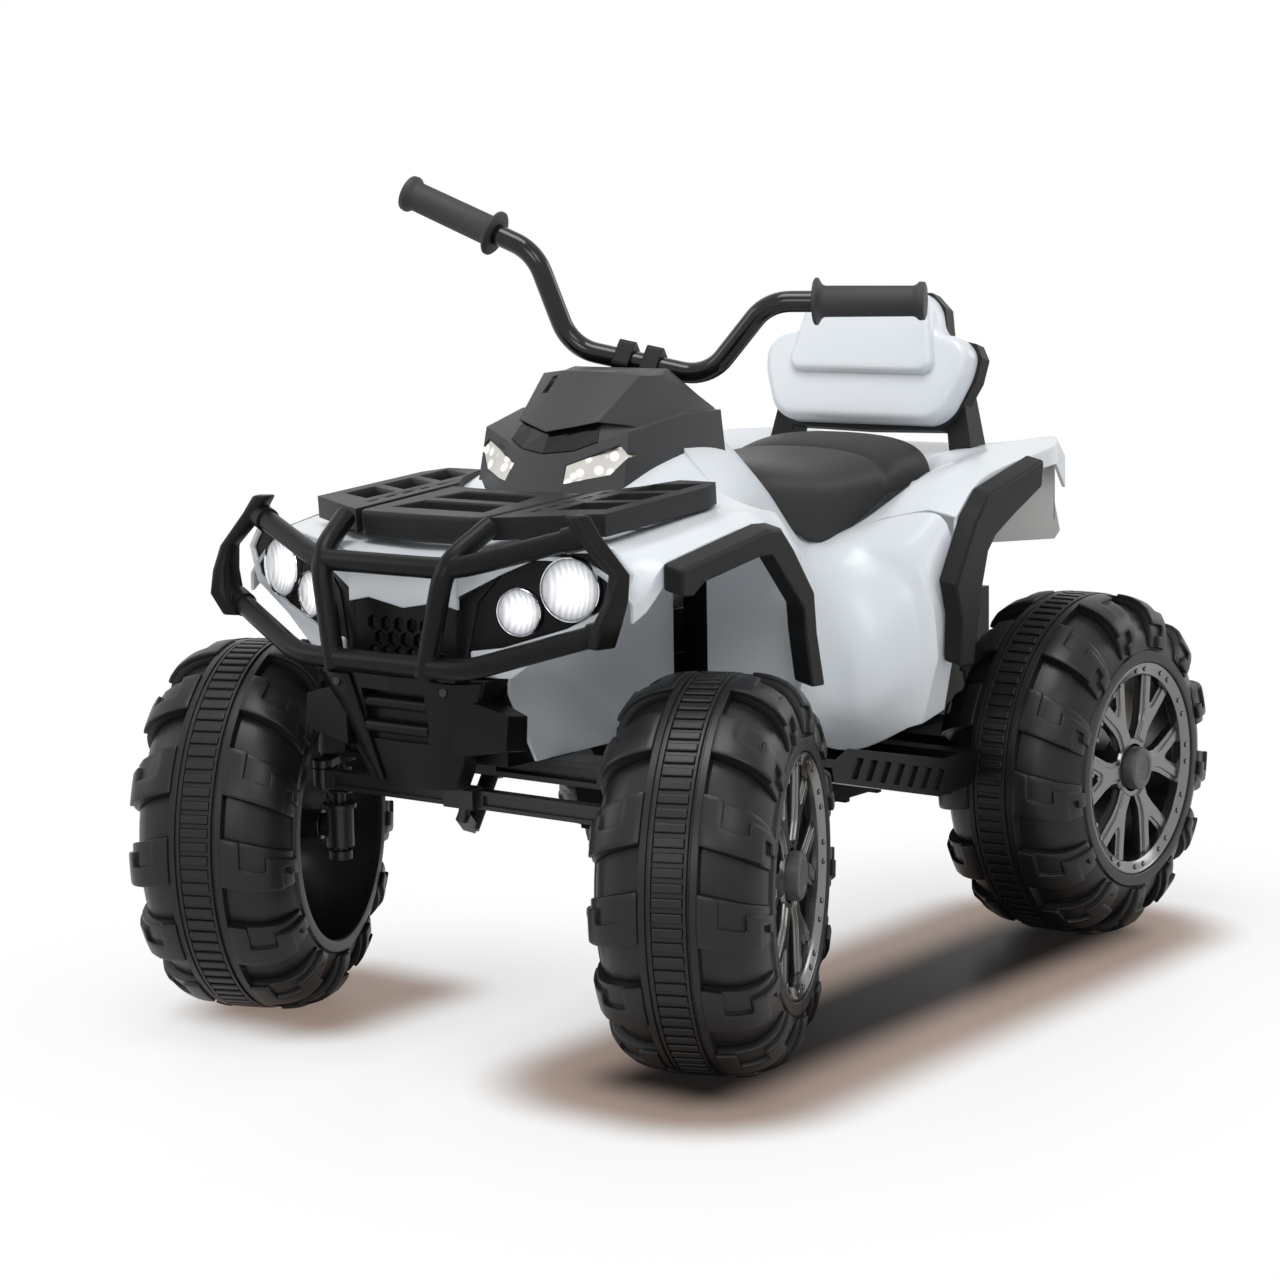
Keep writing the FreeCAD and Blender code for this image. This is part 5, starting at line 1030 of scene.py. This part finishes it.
def nose_plate(name, outline, depth, start, edge):
    """A plate on the left of the swept nose from a front view outline, its face at start behind the nose."""
    plate = outline_plate(name, metres(outline), depth * MM, edge)
    cosine, sine = math.cos(NOSE_SWEEP), math.sin(NOSE_SWEEP)
    origin = on_nose(1.0, 0.0, start, 0.0)
    return laid(plate, (cosine, 0, -sine, origin.x), (sine, 0, cosine, origin.y), (0, 1, 0, 0))


class QUAD_OT_front_body(bpy.types.Operator):
    """Models the hood and fenders, the lamp surrounds, the brow, the inner arch walls and the grille's bridges"""
    bl_idname = "quad.front_body"
    bl_label = "Front Body"

    def execute(self, context):
        hood = panel("front_panel", FRONT_ROWS, nose=True)
        crease(hood, 0.6, beside(0.2))
        crease(hood, 0.45, beside(0.08, 0.1))
        thicken(hood)
        cheek = nose_plate("lamp_surround", CHEEK, 3.5, 0.0, 0.0)
        cut(cheek, nose_plate("pod_cutter", POD_HOLE, 40.0, -20.0, 0.0))
        bevel(cheek, 0.0012, 2, 50.0)
        smooth(cheek, 40.0)
        pieces = [hood, cheek, twin(cheek), cross_plate("brow", BROW, BROW_Y)]
        pieces += side_plates("arch_wall", FRONT_ARCH, FRONT_ARCH_X)
        settle(joined("front_panel", pieces), "white_gloss", "front_body")
        bridge = nose_plate("nose_bridge", BRIDGE, 4.0, 3.6, 0.001)
        settle(pair(bridge), "black_plastic")
        return {"FINISHED"}


# Flares

FLARES = {
    "front": (
        (-350, 450), (-221, 472), (-201, 471), (-182, 451), (-150, 409), (-146, 372), (-134, 322), (-155, 323),
        (-165, 371), (-168, 396), (-216, 448), (-234, 449), (-317, 436), (-333, 426), (-350, 427),
    ),
    "rear": (
        (262, 495), (157, 470), (130, 446), (93, 387), (104, 352), (102, 307), (126, 306), (134, 343), (143, 382),
        (154, 414), (168, 428), (206, 446), (258, 468),
    ),
}
FLARE_INNER, FLARE_WIDTH, FLARE_DROP = 228.3, 21.0, 5.0


class QUAD_OT_flares(bpy.types.Operator):
    """Models the dark flare over each wheel: an arched band that slopes down towards its outer face"""
    bl_idname = "quad.flares"
    bl_label = "Flares"

    def execute(self, context):
        slope = FLARE_DROP / FLARE_WIDTH
        for end, outline in FLARES.items():
            band = outline_plate(end + "_left_band", metres(outline), FLARE_WIDTH * MM, 0.003, 3)
            laid(band, (0, 0, 1, FLARE_INNER * MM), (1, 0, 0, SHIFT_Y * MM), (0, 1, -slope, 0))
            for piece, side in ((band, "left"), (twin(band, end + "_right_band"), "right")):
                # The flares' grey is the trim's, darkened as painted shade
                settle(piece, "trim_grey", end + "_" + side + "_flare", made_of="flare_grey_painted_shade")
        return {"FINISHED"}


# Rack

RACK_FRONT, RACK_LEVEL, RACK_SLOPE = -402.0, 473.0, math.radians(4.0)
RACK_LOW, RACK_TOP, RACK_LIP = -5.0, 12.0, -13.0
RACK_MIDDLE = ((0, -402), (64, -400), (71, -394), (76, -262), (70, -262), (0, -268))
RACK_WING = ((78, -394), (92, -388), (167, -348), (168, -200), (158, -172), (118, -172), (104, -214), (84, -244))
RACK_LIP_HALF = ((0, -402.6), (64, -400.6), (70, -395), (70, -388), (0, -388))
RACK_BRIDGE = ((66, -392), (86, -384), (92, -240), (66, -266))
RACK_PITCH, SLOT_PITCH, THROUGH = 52.0, 24.0, 30.0


def rack_plate(name, outline, low, high):
    """A plate in the rack's own plane, between two levels above its underside."""
    flat = [(x * MM, (y - RACK_FRONT) * MM) for x, y in outline]
    plate = outline_plate(name, flat, (high - low) * MM, 0.0)
    plate.data.transform(Matrix.Translation((0, 0, low * MM)))
    return plate


class QUAD_OT_rack(bpy.types.Operator):
    """Models the luggage rack: thick wings with slanted windows, slotted grooves and a lipped middle"""
    bl_idname = "quad.rack"
    bl_label = "Luggage Rack"

    def execute(self, context):
        middle = rack_plate("rack_middle", both(RACK_MIDDLE), RACK_LOW, RACK_TOP)
        for index in range(2):
            y = -372.0 + RACK_PITCH * index
            half = ((0.0, y), (52.0 - 4 * index, y), (46.0 - 4 * index, y + 36), (0.0, y + 36))
            cut(middle, rack_plate("window", both(half), -THROUGH, THROUGH))
        soften(middle, 0.0022)
        lip = rack_plate("rack_lip", both(RACK_LIP_HALF), RACK_LIP, RACK_TOP - 0.4)
        soften(lip, 0.004, 3)
        wing = rack_plate("rack_wing", RACK_WING, RACK_LOW - 3.0, RACK_TOP)
        for index in range(3):
            y = -352.0 + RACK_PITCH * index
            window = ((110.0, y + 8), (152.0, y + 25), (152.0, y + 65), (110.0, y + 48))
            cut(wing, rack_plate("window", window, -THROUGH, THROUGH))
        for index in range(5):
            y = -360.0 + SLOT_PITCH * index
            slot = ((93.0, y), (97.0, y + 2), (97.0, y + 16), (93.0, y + 14))
            cut(wing, rack_plate("slot", slot, 5.0, THROUGH))
        soften(wing, 0.0024)
        one_side = [wing, rack_plate("rack_bridge", RACK_BRIDGE, RACK_LOW, 4.0)]
        for y in (-376.0, -300.0):
            foot = ((96.0, y), (110.0, y), (110.0, y + 26), (96.0, y + 26))
            one_side.append(rack_plate("rack_foot", foot, RACK_LIP, 0.0))
        pieces = [middle, lip]
        for piece in one_side:
            pieces += [piece, twin(piece)]
        whole = joined("luggage_rack", pieces)
        whole.data.transform(tilted((0, RACK_FRONT, RACK_LEVEL), RACK_SLOPE))
        settle(whole, "trim_grey", "front_rack")
        return {"FINISHED"}


# Cowl: each column runs from the foot of the lower tier, over its rim and ledge, up the visor band to the lower
# edge of the cap, over the cap to its rear edge and down behind; the columns go from the middle round to the back
COWL_COLUMNS = (
    ((0, -248, 490), (0, -231, 523), (0, -224, 524), (0, -211, 545), (0, -220, 544), (0, -158, 596), (0, -106, 597),
     (0, -70, 557)),
    ((28, -245.3, 490), (31, -223.4, 526), (30, -216, 527), (27, -200, 550), (27, -209, 549), (30, -157, 596),
     (20, -106, 597), (20, -70, 557)),
    ((42, -244, 490), (49.4, -214, 533), (50, -207, 535), (44, -193, 554), (46, -202, 553), (57, -150, 593),
     (38, -106, 597), (40, -70, 557)),
    ((86, -216, 490), (84, -204, 545), (72, -172, 546), (71, -171, 547), (70, -170, 548), (60, -137, 592),
     (46, -106, 597), (62, -70, 557)),
    ((98, -140, 490), (97, -134, 558), (87, -127, 558), (86.5, -126.5, 559), (86, -126, 560), (61, -122, 592),
     (54, -106, 597), (76, -70, 557)),
    ((96, -66, 490), (95, -76, 558), (86, -73, 558), (85.5, -72.5, 558.5), (85, -72, 559), (60, -107, 593),
     (58, -106, 596), (84, -70, 557)),
)
DASH_MIDDLE, DASH_TILT = (-88.0, 577.0), math.atan2(-40.0, 36.0)
BUTTON_X, ROCKERS_X = 40.0, (-34.0, -56.0)
BUTTON_HOLE, POCKET_SIZE = (48, 0.0096, 0.03), (0.0168, 0.0238, 0.03)
VISOR_REACH, VISOR_LEVEL, COWL_WALL = 2, 2, 0.003
COWL_SLOT, SLOT_SIZE, SLOT_TILT = (-34.0, -169.0, 583.4), (0.007, 0.023, 0.0044), math.radians(41.7)
LENS_CUT_Y, LENS_CUT_DEPTH = -262.0, 0.08
LENS_OUTLINE = ((33, 499), (30, 515), (78, 534), (87, 524), (73, 506))


class QUAD_OT_cowl(bpy.types.Operator):
    """Models the two tiers of the cowl: lens wall with arms to the tank, visor band painted black as shade, and
    faceted cap, the shell in a grey lightened as painted light
    """
    bl_idname = "quad.cowl"
    bl_label = "Cowl"

    def execute(self, context):
        half = [[at(*point) for point in column] for column in COWL_COLUMNS]
        rows = [[MIRROR @ point for point in column] for column in reversed(half[1:])] + half
        levels = len(half[0])
        centre = len(half) - 1
        cowl = grid("cowl_shell", rows)

        def in_band(polygon):
            row, level = divmod(polygon.index, levels - 1)
            return level == VISOR_LEVEL and centre - VISOR_REACH <= row < centre + VISOR_REACH

        drop_faces(cowl, in_band)
        edit(cowl, outward)
        right_way(cowl)
        modify(cowl, "SOLIDIFY", thickness=COWL_WALL, offset=-1.0)
        for cutter in self.cutters():
            cut(cowl, cutter)
        soften(cowl, 0.0018)
        # The cowl's grey is the trim's, lightened as painted light
        settle(cowl, "trim_grey", "cowl", made_of="cowl_grey_painted_light")
        # The recessed visor band, painted black: painted shade over the shade of its recess
        band = [row[VISOR_LEVEL:VISOR_LEVEL + 2] for row in rows[centre - VISOR_REACH:centre + VISOR_REACH + 1]]
        visor = grid("cowl_visor_painted_shade", band)
        edit(visor, outward)
        modify(visor, "SOLIDIFY", thickness=COWL_WALL, offset=0.0)
        settle(visor, "trim_grey", made_of="bar_black")
        return {"FINISHED"}

    def cutters(self):
        """The button's round hole, the slot in the cap, the pockets of the two rockers and the lens windows."""
        hole = rod("button_hole", *BUTTON_HOLE)
        hole.data.transform(tilted((BUTTON_X, *DASH_MIDDLE), DASH_TILT))
        made = [hole, block("cowl_slot", tilted(COWL_SLOT, SLOT_TILT), SLOT_SIZE)]
        for x in ROCKERS_X:
            made.append(block("cowl_pocket", tilted((x, *DASH_MIDDLE), DASH_TILT), POCKET_SIZE))
        for side in (1.0, -1.0):
            outline = [(side * x, z) for x, z in LENS_OUTLINE]
            window = outline_plate("lens_window", metres(outline), LENS_CUT_DEPTH, 0.0)
            made.append(laid(window, (1, 0, 0, 0), (0, 0, 1, (LENS_CUT_Y + SHIFT_Y) * MM), (0, 1, 0, 0)))
        return made


# Bull bar

TUBE_SIDES, TUBE_BEND = 24, 22.0
STRAP = (
    ((46, -443.4, 347), (26, -422.6, 250)), ((70, -442, 347), (35.4, -420.9, 250)),
    ((94, -429.1, 347), (49, -413, 250)),
)
STRAP_ROWS, STRAP_THICKNESS = 4, 3.0
STRAP_SCREW, SCREW_TILT, SCREW_SIZE = (62.0, -442.2, 338.0), math.radians(80.0), (24, 0.0042, 0.006)
BAR_RADIUS, SLEEVE_RADIUS, SLEEVE_LENGTH = 9.5, 11.4, 18.0
LUG_PLACE, LUG_SIZE = (72.0, -440.0, 353.2), (0.02, 0.024, 0.0094)
BAR_BROW = ((188, -404, 476), (78, -446, 446))
BAR_LOWER = ((216, -408, 398), (96, -455, 361))
BAR_UPRIGHT = ((52, -456, 352), (72, -450, 450), (84, -402, 479))
BAR_END = (
    (494, ((172, -413), (186, -415), (192, -401), (176, -393))),
    (478, ((182, -416), (197, -417), (204, -402), (186, -395))),
    (446, ((219, -414), (229, -416), (234, -401), (220, -397))),
    (424, ((220, -422), (230, -426), (234, -404), (220, -398))),
    (404, ((212, -430), (226, -434), (230, -408), (214, -400))),
    (384, ((201, -424), (216, -428), (221, -406), (203, -399))),
)


def ringed(name, rings):
    """A closed skin through rings of points, its ends drawn to their middles."""
    rows = [[sum(ring, Vector((0, 0, 0))) / len(ring)] * (len(ring) + 1) for ring in (rings[0], rings[-1])]
    rows[1:1] = [list(ring) + [ring[0]] for ring in rings]
    skin = grid(name, [[at(*point) for point in row] for row in rows])
    edit(skin, merge, outward)
    return skin


def tube(name, corners, radius):
    """A round tube through corner points, bent at each."""
    corners = [Vector(corner) for corner in corners]
    path = [corners[0]]
    for before, here, after in zip(corners, corners[1:], corners[2:]):
        path += corner_arc(before, here, after, TUBE_BEND)
    path.append(corners[-1])
    side = (path[1] - path[0]).orthogonal()
    rings = []
    for index, here in enumerate(path):
        along = (path[min(index + 1, len(path) - 1)] - path[max(index - 1, 0)]).normalized()
        side = (side - along * side.dot(along)).normalized()
        up = along.cross(side)
        angles = [2.0 * math.pi * step / TUBE_SIDES for step in range(TUBE_SIDES)]
        rings.append([here + (side * math.cos(angle) + up * math.sin(angle)) * radius for angle in angles])
    piece = ringed(name, rings)
    smooth(piece, 50.0)
    return piece


class QUAD_OT_bull_bar(bpy.types.Operator):
    """Models the bull bar: two bowed tubes, two uprights, a slim tapered block at each end, and its straps"""
    bl_idname = "quad.bull_bar"
    bl_label = "Bull Bar"

    def execute(self, context):
        pieces = []
        one_side = [tube("bar_upright", BAR_UPRIGHT, BAR_RADIUS)]
        for half in (BAR_BROW, BAR_LOWER):
            other = [(-x, y, z) for x, y, z in reversed(half)]
            pieces.append(tube("bar_tube", list(half) + other, BAR_RADIUS))
            end, inner = (Vector(point) for point in half)
            sleeve_end = end + (inner - end).normalized() * SLEEVE_LENGTH
            one_side.append(tube("bar_sleeve", (end, sleeve_end), SLEEVE_RADIUS))
        end_block = ringed("bar_end", [[Vector((x, y, z)) for x, y in corners] for z, corners in BAR_END])
        soften(end_block, 0.0026, 3)
        lug = block("bar_lug", Matrix.Translation(at(*LUG_PLACE)), LUG_SIZE)
        soften(lug, 0.0016)
        for piece in one_side + [end_block, lug]:
            pieces += [piece, twin(piece)]
        settle(joined("nose_bar", pieces), "black_plastic", "bull_bar")
        self.straps()
        return {"FINISHED"}

    def straps(self):
        """The two straps that hold the bar to the skid plate, each with its screw."""
        strap = grid("nose_strap", [[at(*(Vector(high).lerp(Vector(low), row / STRAP_ROWS))) for high, low in STRAP]
                                    for row in range(STRAP_ROWS + 1)])
        edit(strap, outward)
        right_way(strap, lambda polygon: -polygon.normal.y)
        modify(strap, "SOLIDIFY", thickness=STRAP_THICKNESS * MM, offset=1.0)
        soften(strap, 0.0009)
        settle(pair(strap), "black_plastic")
        screw = rod("strap_screw", *SCREW_SIZE)
        edit(screw, lambda: bpy.ops.mesh.bevel(offset=0.0008, segments=2))
        screw.data.transform(tilted(STRAP_SCREW, SCREW_TILT))
        settle(pair(screw), "bare_steel", made_of="burnt_steel")


# Centre and rear

class QUAD_OT_centre_body(bpy.types.Operator):
    """Models the tank and side panels as one waisted shell, the wall behind the front wheels and its dark plates of
    painted shade
    """
    bl_idname = "quad.centre_body"
    bl_label = "Centre Body"

    def execute(self, context):
        shell = panel("centre_panel", CENTRE_ROWS)
        columns = {}
        for number, (y, half) in enumerate(CENTRE_ROWS):
            for column, (x, z) in enumerate(half):
                columns[tuple(round(part, 6) for part in at(x, y, z))] = (number, column)

        def cell(point):
            return columns[(round(abs(point.x), 6), round(point.y, 6), round(point.z, 6))]

        def along(first, second, column):
            return cell(first)[1] == cell(second)[1] == column

        def across(first, second, row):
            return cell(first)[0] == cell(second)[0] == row and min(cell(first)[1], cell(second)[1]) > 2

        crease(shell, 0.6, lambda p, q: along(p, q, 1) or along(p, q, 2))
        crease(shell, 1.0, lambda p, q: along(p, q, 6))
        crease(shell, 0.8, lambda p, q: across(p, q, FOLD_ROW))
        crease(shell, 0.6, lambda p, q: across(p, q, FOLD_ROW + 1))
        thicken(shell)
        wall = cross_plate("arch_back", CENTRE_ROWS[0][1] + ARCH_BACK_FOOT, ARCH_BACK_Y)
        settle(joined("centre_panel", [shell, wall]), "white_gloss", "centre_body")
        # A dark plate at each side: painted shade for the dark gap at the back of the arch
        shade = block("arch_painted_shade", Matrix.Translation(at(*ARCH_PAINTED_SHADE)), ARCH_PAINTED_SHADE_SIZE)
        settle(pair(shade), "black_plastic")
        return {"FINISHED"}


class QUAD_OT_rear_body(bpy.types.Operator):
    """Models the deck and rear fenders, and the inner walls and the tail in the body's white greyed as painted shade
    """
    bl_idname = "quad.rear_body"
    bl_label = "Rear Body"

    def execute(self, context):
        deck = panel("rear_panel", REAR_ROWS)
        crease(deck, 0.6, lambda p, q: min(abs(p.x), abs(q.x)) > 0.15 and abs(p.y - q.y) > 0.01)
        crease(deck, 0.5, beside(0.074, 0.112))
        crease(deck, 0.6, lambda p, q: abs(p.y - q.y) < 0.001 and p.y > at(0, 420.0, 0).y)
        thicken(deck)
        walls = side_plates("rear_arch_wall", REAR_ARCH, REAR_ARCH_X)
        tail = cross_plate("tail", TAIL, TAIL_Y)
        settle(deck, "white_gloss", "rear_body")
        # The inner walls and tail take a grey of painted shade
        settle(joined("rear_liner", [tail] + walls), "white_gloss", made_of="liner_grey_painted_shade")
        return {"FINISHED"}


class QUAD_OT_carried(bpy.types.Operator):
    """Gives every solid that stays in view its finish"""
    bl_idname = "quad.carried"
    bl_label = "Carried Over Solids"

    def execute(self, context):
        for entry in frame["record"]["subparts"]:
            node = NODES[entry["node"]]
            slot = entry["material_slot"]
            node.data.materials.clear()
            node.data.materials.append(look(NODE_LOOK.get(entry["node"], SLOT_LOOK.get(slot, slot))))
        return {"FINISHED"}


# Stage

# Centre, half size and start of each patch of painted shadow on the floor: beside the left wheels, and at the front
# right wheel
PAINTED_SHADOW_PATCHES = (((0.24, 0.0, 0.0), (0.03, 0.34, 1.0), 0.0), ((-0.2, -0.3, 0.0), (0.04, 0.06, 1.0), 0.07))
# Distance past a patch, and the floor's colour there: the painted shadow from its dark core through brown to white
PAINTED_SHADOW_STOPS = ((0.0, (0.02, 0.018, 0.017)), (0.08, (0.42, 0.32, 0.27)), (0.17, (1.0, 1.0, 1.0)))
FLOOR_SIZE, FLOOR_LEVEL = 60.0, -0.0004
# Place, target, size and power in watts
STUDIO_LAMPS = {
    "key": ((2.3, -1.7, 2.4), (0, 0, 0.35), 1.2, 17.0),
    "fill": ((-2.6, -2.2, 1.8), (0, -0.1, 0.35), 1.4, 14.0),
    "top": ((0.1, -0.7, 2.9), (0, -0.05, 0.3), 1.3, 36.0),
    "front": ((1.1, -3.2, 1.5), (0, -0.3, 0.4), 1.0, 14.0),
    "rim": ((1.6, 2.6, 1.6), (0, 0.1, 0.4), 1.2, 14.0),
}
CAMERA_PLACE, CAMERA_LENS, CAMERA_SENSOR = (1.75485, -2.38301, 0.75979), 85.66, 36.0
CAMERA_AZIMUTH, CAMERA_ELEVATION, CAMERA_ROLL = math.radians(37.16), math.radians(8.35), math.radians(-0.94)


class QUAD_OT_stage(bpy.types.Operator):
    """Pale floor, soft lamps, white surround and the camera"""
    bl_idname = "quad.stage"
    bl_label = "Stage"

    def execute(self, context):
        scene = context.scene
        scene.view_settings.view_transform = "Standard"
        self.floor()
        self.surround(scene)
        for name, (place, target, size, power) in STUDIO_LAMPS.items():
            self.lamp(name, Vector(place), Vector(target), size, power)
        self.camera(scene)
        return {"FINISHED"}

    def rays_that_see(self, tree):
        """1 for rays that show the background: from the camera, off a gloss or through a lens."""
        path = add_node(tree, "LightPath").outputs
        total = path["Is Camera Ray"]
        for kind in ("Is Glossy Ray", "Is Transmission Ray"):
            total = add_node(tree, "Math", {0: total, 1: path[kind]}, operation="MAXIMUM").outputs[0]
        return total

    def past_patch(self, tree, value, centre, half, start):
        """How far a floor point lies past the edge of a patch of painted shadow, counted from start."""
        for operation, amount in (("SUBTRACT", {1: centre}), ("ABSOLUTE", {}), ("SUBTRACT", {1: half}),
                                  ("MAXIMUM", {1: (0, 0, 0)}), ("LENGTH", {})):
            step = add_node(tree, "VectorMath", {0: value, **amount}, operation=operation)
            value = step.outputs["Value"] if operation == "LENGTH" else step.outputs[0]
        return add_node(tree, "Math", {0: value, 1: start}).outputs[0]

    def floor(self):
        """White floor, lit as the surround is where it is seen, with a painted shadow under the bike in its colour.
        """
        fresh()
        bpy.ops.mesh.primitive_grid_add(size=FLOOR_SIZE, x_subdivisions=2, y_subdivisions=2)
        floor = take("floor")
        floor.data.transform(Matrix.Translation((0, 0, FLOOR_LEVEL)))
        material = bpy.data.materials.new("floor_white_painted_shadow")
        material.use_nodes = True
        tree = material.node_tree
        where = add_node(tree, "TexCoord").outputs["Object"]
        # Distance past the nearer patch of painted shadow, and the floor's colour with that shadow painted in
        first, second = (self.past_patch(tree, where, *patch) for patch in PAINTED_SHADOW_PATCHES)
        far = add_node(tree, "Math", {0: first, 1: second}, operation="MINIMUM").outputs[0]
        fade = add_node(tree, "MapRange", {"Value": far, "From Max": 0.5, "To Min": 0.6},
                        interpolation_type="SMOOTHSTEP").outputs["Result"]
        under = ramp(tree, far, PAINTED_SHADOW_STOPS, "EASE")
        shader = tree.nodes["Principled BSDF"]
        feed(tree, shader, {"Base Color": under, "Roughness": 0.35, "Specular IOR Level": 0.25})
        white = add_node(tree, "Emission", {"Color": under})
        share = add_node(tree, "Math", {0: self.rays_that_see(tree), 1: fade}, operation="MULTIPLY")
        mix = add_node(tree, "MixShader", {"Fac": share.outputs[0], 1: shader.outputs[0], 2: white.outputs[0]})
        feed(tree, tree.nodes["Material Output"], {"Surface": mix.outputs[0]})
        floor.data.materials.append(material)

    def surround(self, scene):
        """A dim sky for the light and a white one to be seen."""
        world = bpy.data.worlds.new("studio")
        scene.world = world
        world.use_nodes = True
        tree = world.node_tree
        light = tree.nodes["Background"]
        feed(tree, light, {"Color": (0.95, 0.97, 1.0, 1.0), "Strength": 0.3})
        seen = add_node(tree, "Background", {"Color": (1.0, 1.0, 1.0, 1.0)})
        mix = add_node(tree, "MixShader", {"Fac": self.rays_that_see(tree), 1: light.outputs[0], 2: seen.outputs[0]})
        feed(tree, tree.nodes["World Output"], {"Surface": mix.outputs[0]})

    def lamp(self, name, place, target, size, power):
        data = bpy.data.lights.new(name, "AREA")
        data.size = size
        data.energy = power
        lamp = bpy.data.objects.new(name, data)
        lamp.location = place
        lamp.rotation_euler = (target - place).to_track_quat("-Z", "Y").to_euler()
        bpy.context.scene.collection.objects.link(lamp)

    def camera(self, scene):
        azimuth, elevation, roll = CAMERA_AZIMUTH, CAMERA_ELEVATION, CAMERA_ROLL
        right = Vector((math.cos(azimuth), math.sin(azimuth), 0))
        back = Vector((math.sin(azimuth) * math.cos(elevation), -math.cos(azimuth) * math.cos(elevation),
                       math.sin(elevation)))
        up = back.cross(right)
        across = right * math.cos(roll) + up * math.sin(roll)
        above = up * math.cos(roll) - right * math.sin(roll)
        data = bpy.data.cameras.new("camera")
        data.sensor_width = CAMERA_SENSOR
        data.lens = CAMERA_LENS
        camera = bpy.data.objects.new("camera", data)
        turn = Matrix((across, above, back)).transposed().to_4x4()
        camera.matrix_world = Matrix.Translation(CAMERA_PLACE) @ turn
        scene.collection.objects.link(camera)
        scene.camera = camera


ORDER = (QUAD_OT_carried, QUAD_OT_tyres, QUAD_OT_rims, QUAD_OT_grips, QUAD_OT_lamps, QUAD_OT_front_body,
         QUAD_OT_flares, QUAD_OT_rack, QUAD_OT_bull_bar, QUAD_OT_cowl, QUAD_OT_centre_body, QUAD_OT_rear_body,
         QUAD_OT_seat, QUAD_OT_backrest, QUAD_OT_stage)


class QUAD_PT_panel(bpy.types.Panel):
    """Lists the pieces and the values that shape them"""
    bl_idname = "QUAD_PT_panel"
    bl_label = "Quad Bike"
    bl_space_type = "VIEW_3D"
    bl_region_type = "UI"
    bl_category = "Quad Bike"

    def draw(self, context):
        for key in GROUPS:
            group = getattr(context.scene, key)
            for name in group.__annotations__:
                self.layout.prop(group, name)
        for operator in ORDER:
            self.layout.operator(operator.bl_idname)


GROUPS = {"quad_finish": QuadFinish, "quad_tyre": QuadTyre, "quad_rim": QuadRim, "quad_lamp": QuadLamp}
CLASSES = tuple(GROUPS.values()) + ORDER + (QUAD_PT_panel,)


def register():
    for entry in CLASSES:
        bpy.utils.register_class(entry)
    for key, group in GROUPS.items():
        setattr(bpy.types.Scene, key, bpy.props.PointerProperty(type=group))


def unregister():
    for key in GROUPS:
        delattr(bpy.types.Scene, key)
    for entry in reversed(CLASSES):
        bpy.utils.unregister_class(entry)


def main():
    register()
    for operator in ORDER:
        family, name = operator.bl_idname.split(".")
        getattr(getattr(bpy.ops, family), name)()


if __name__ == "__main__":
    main()
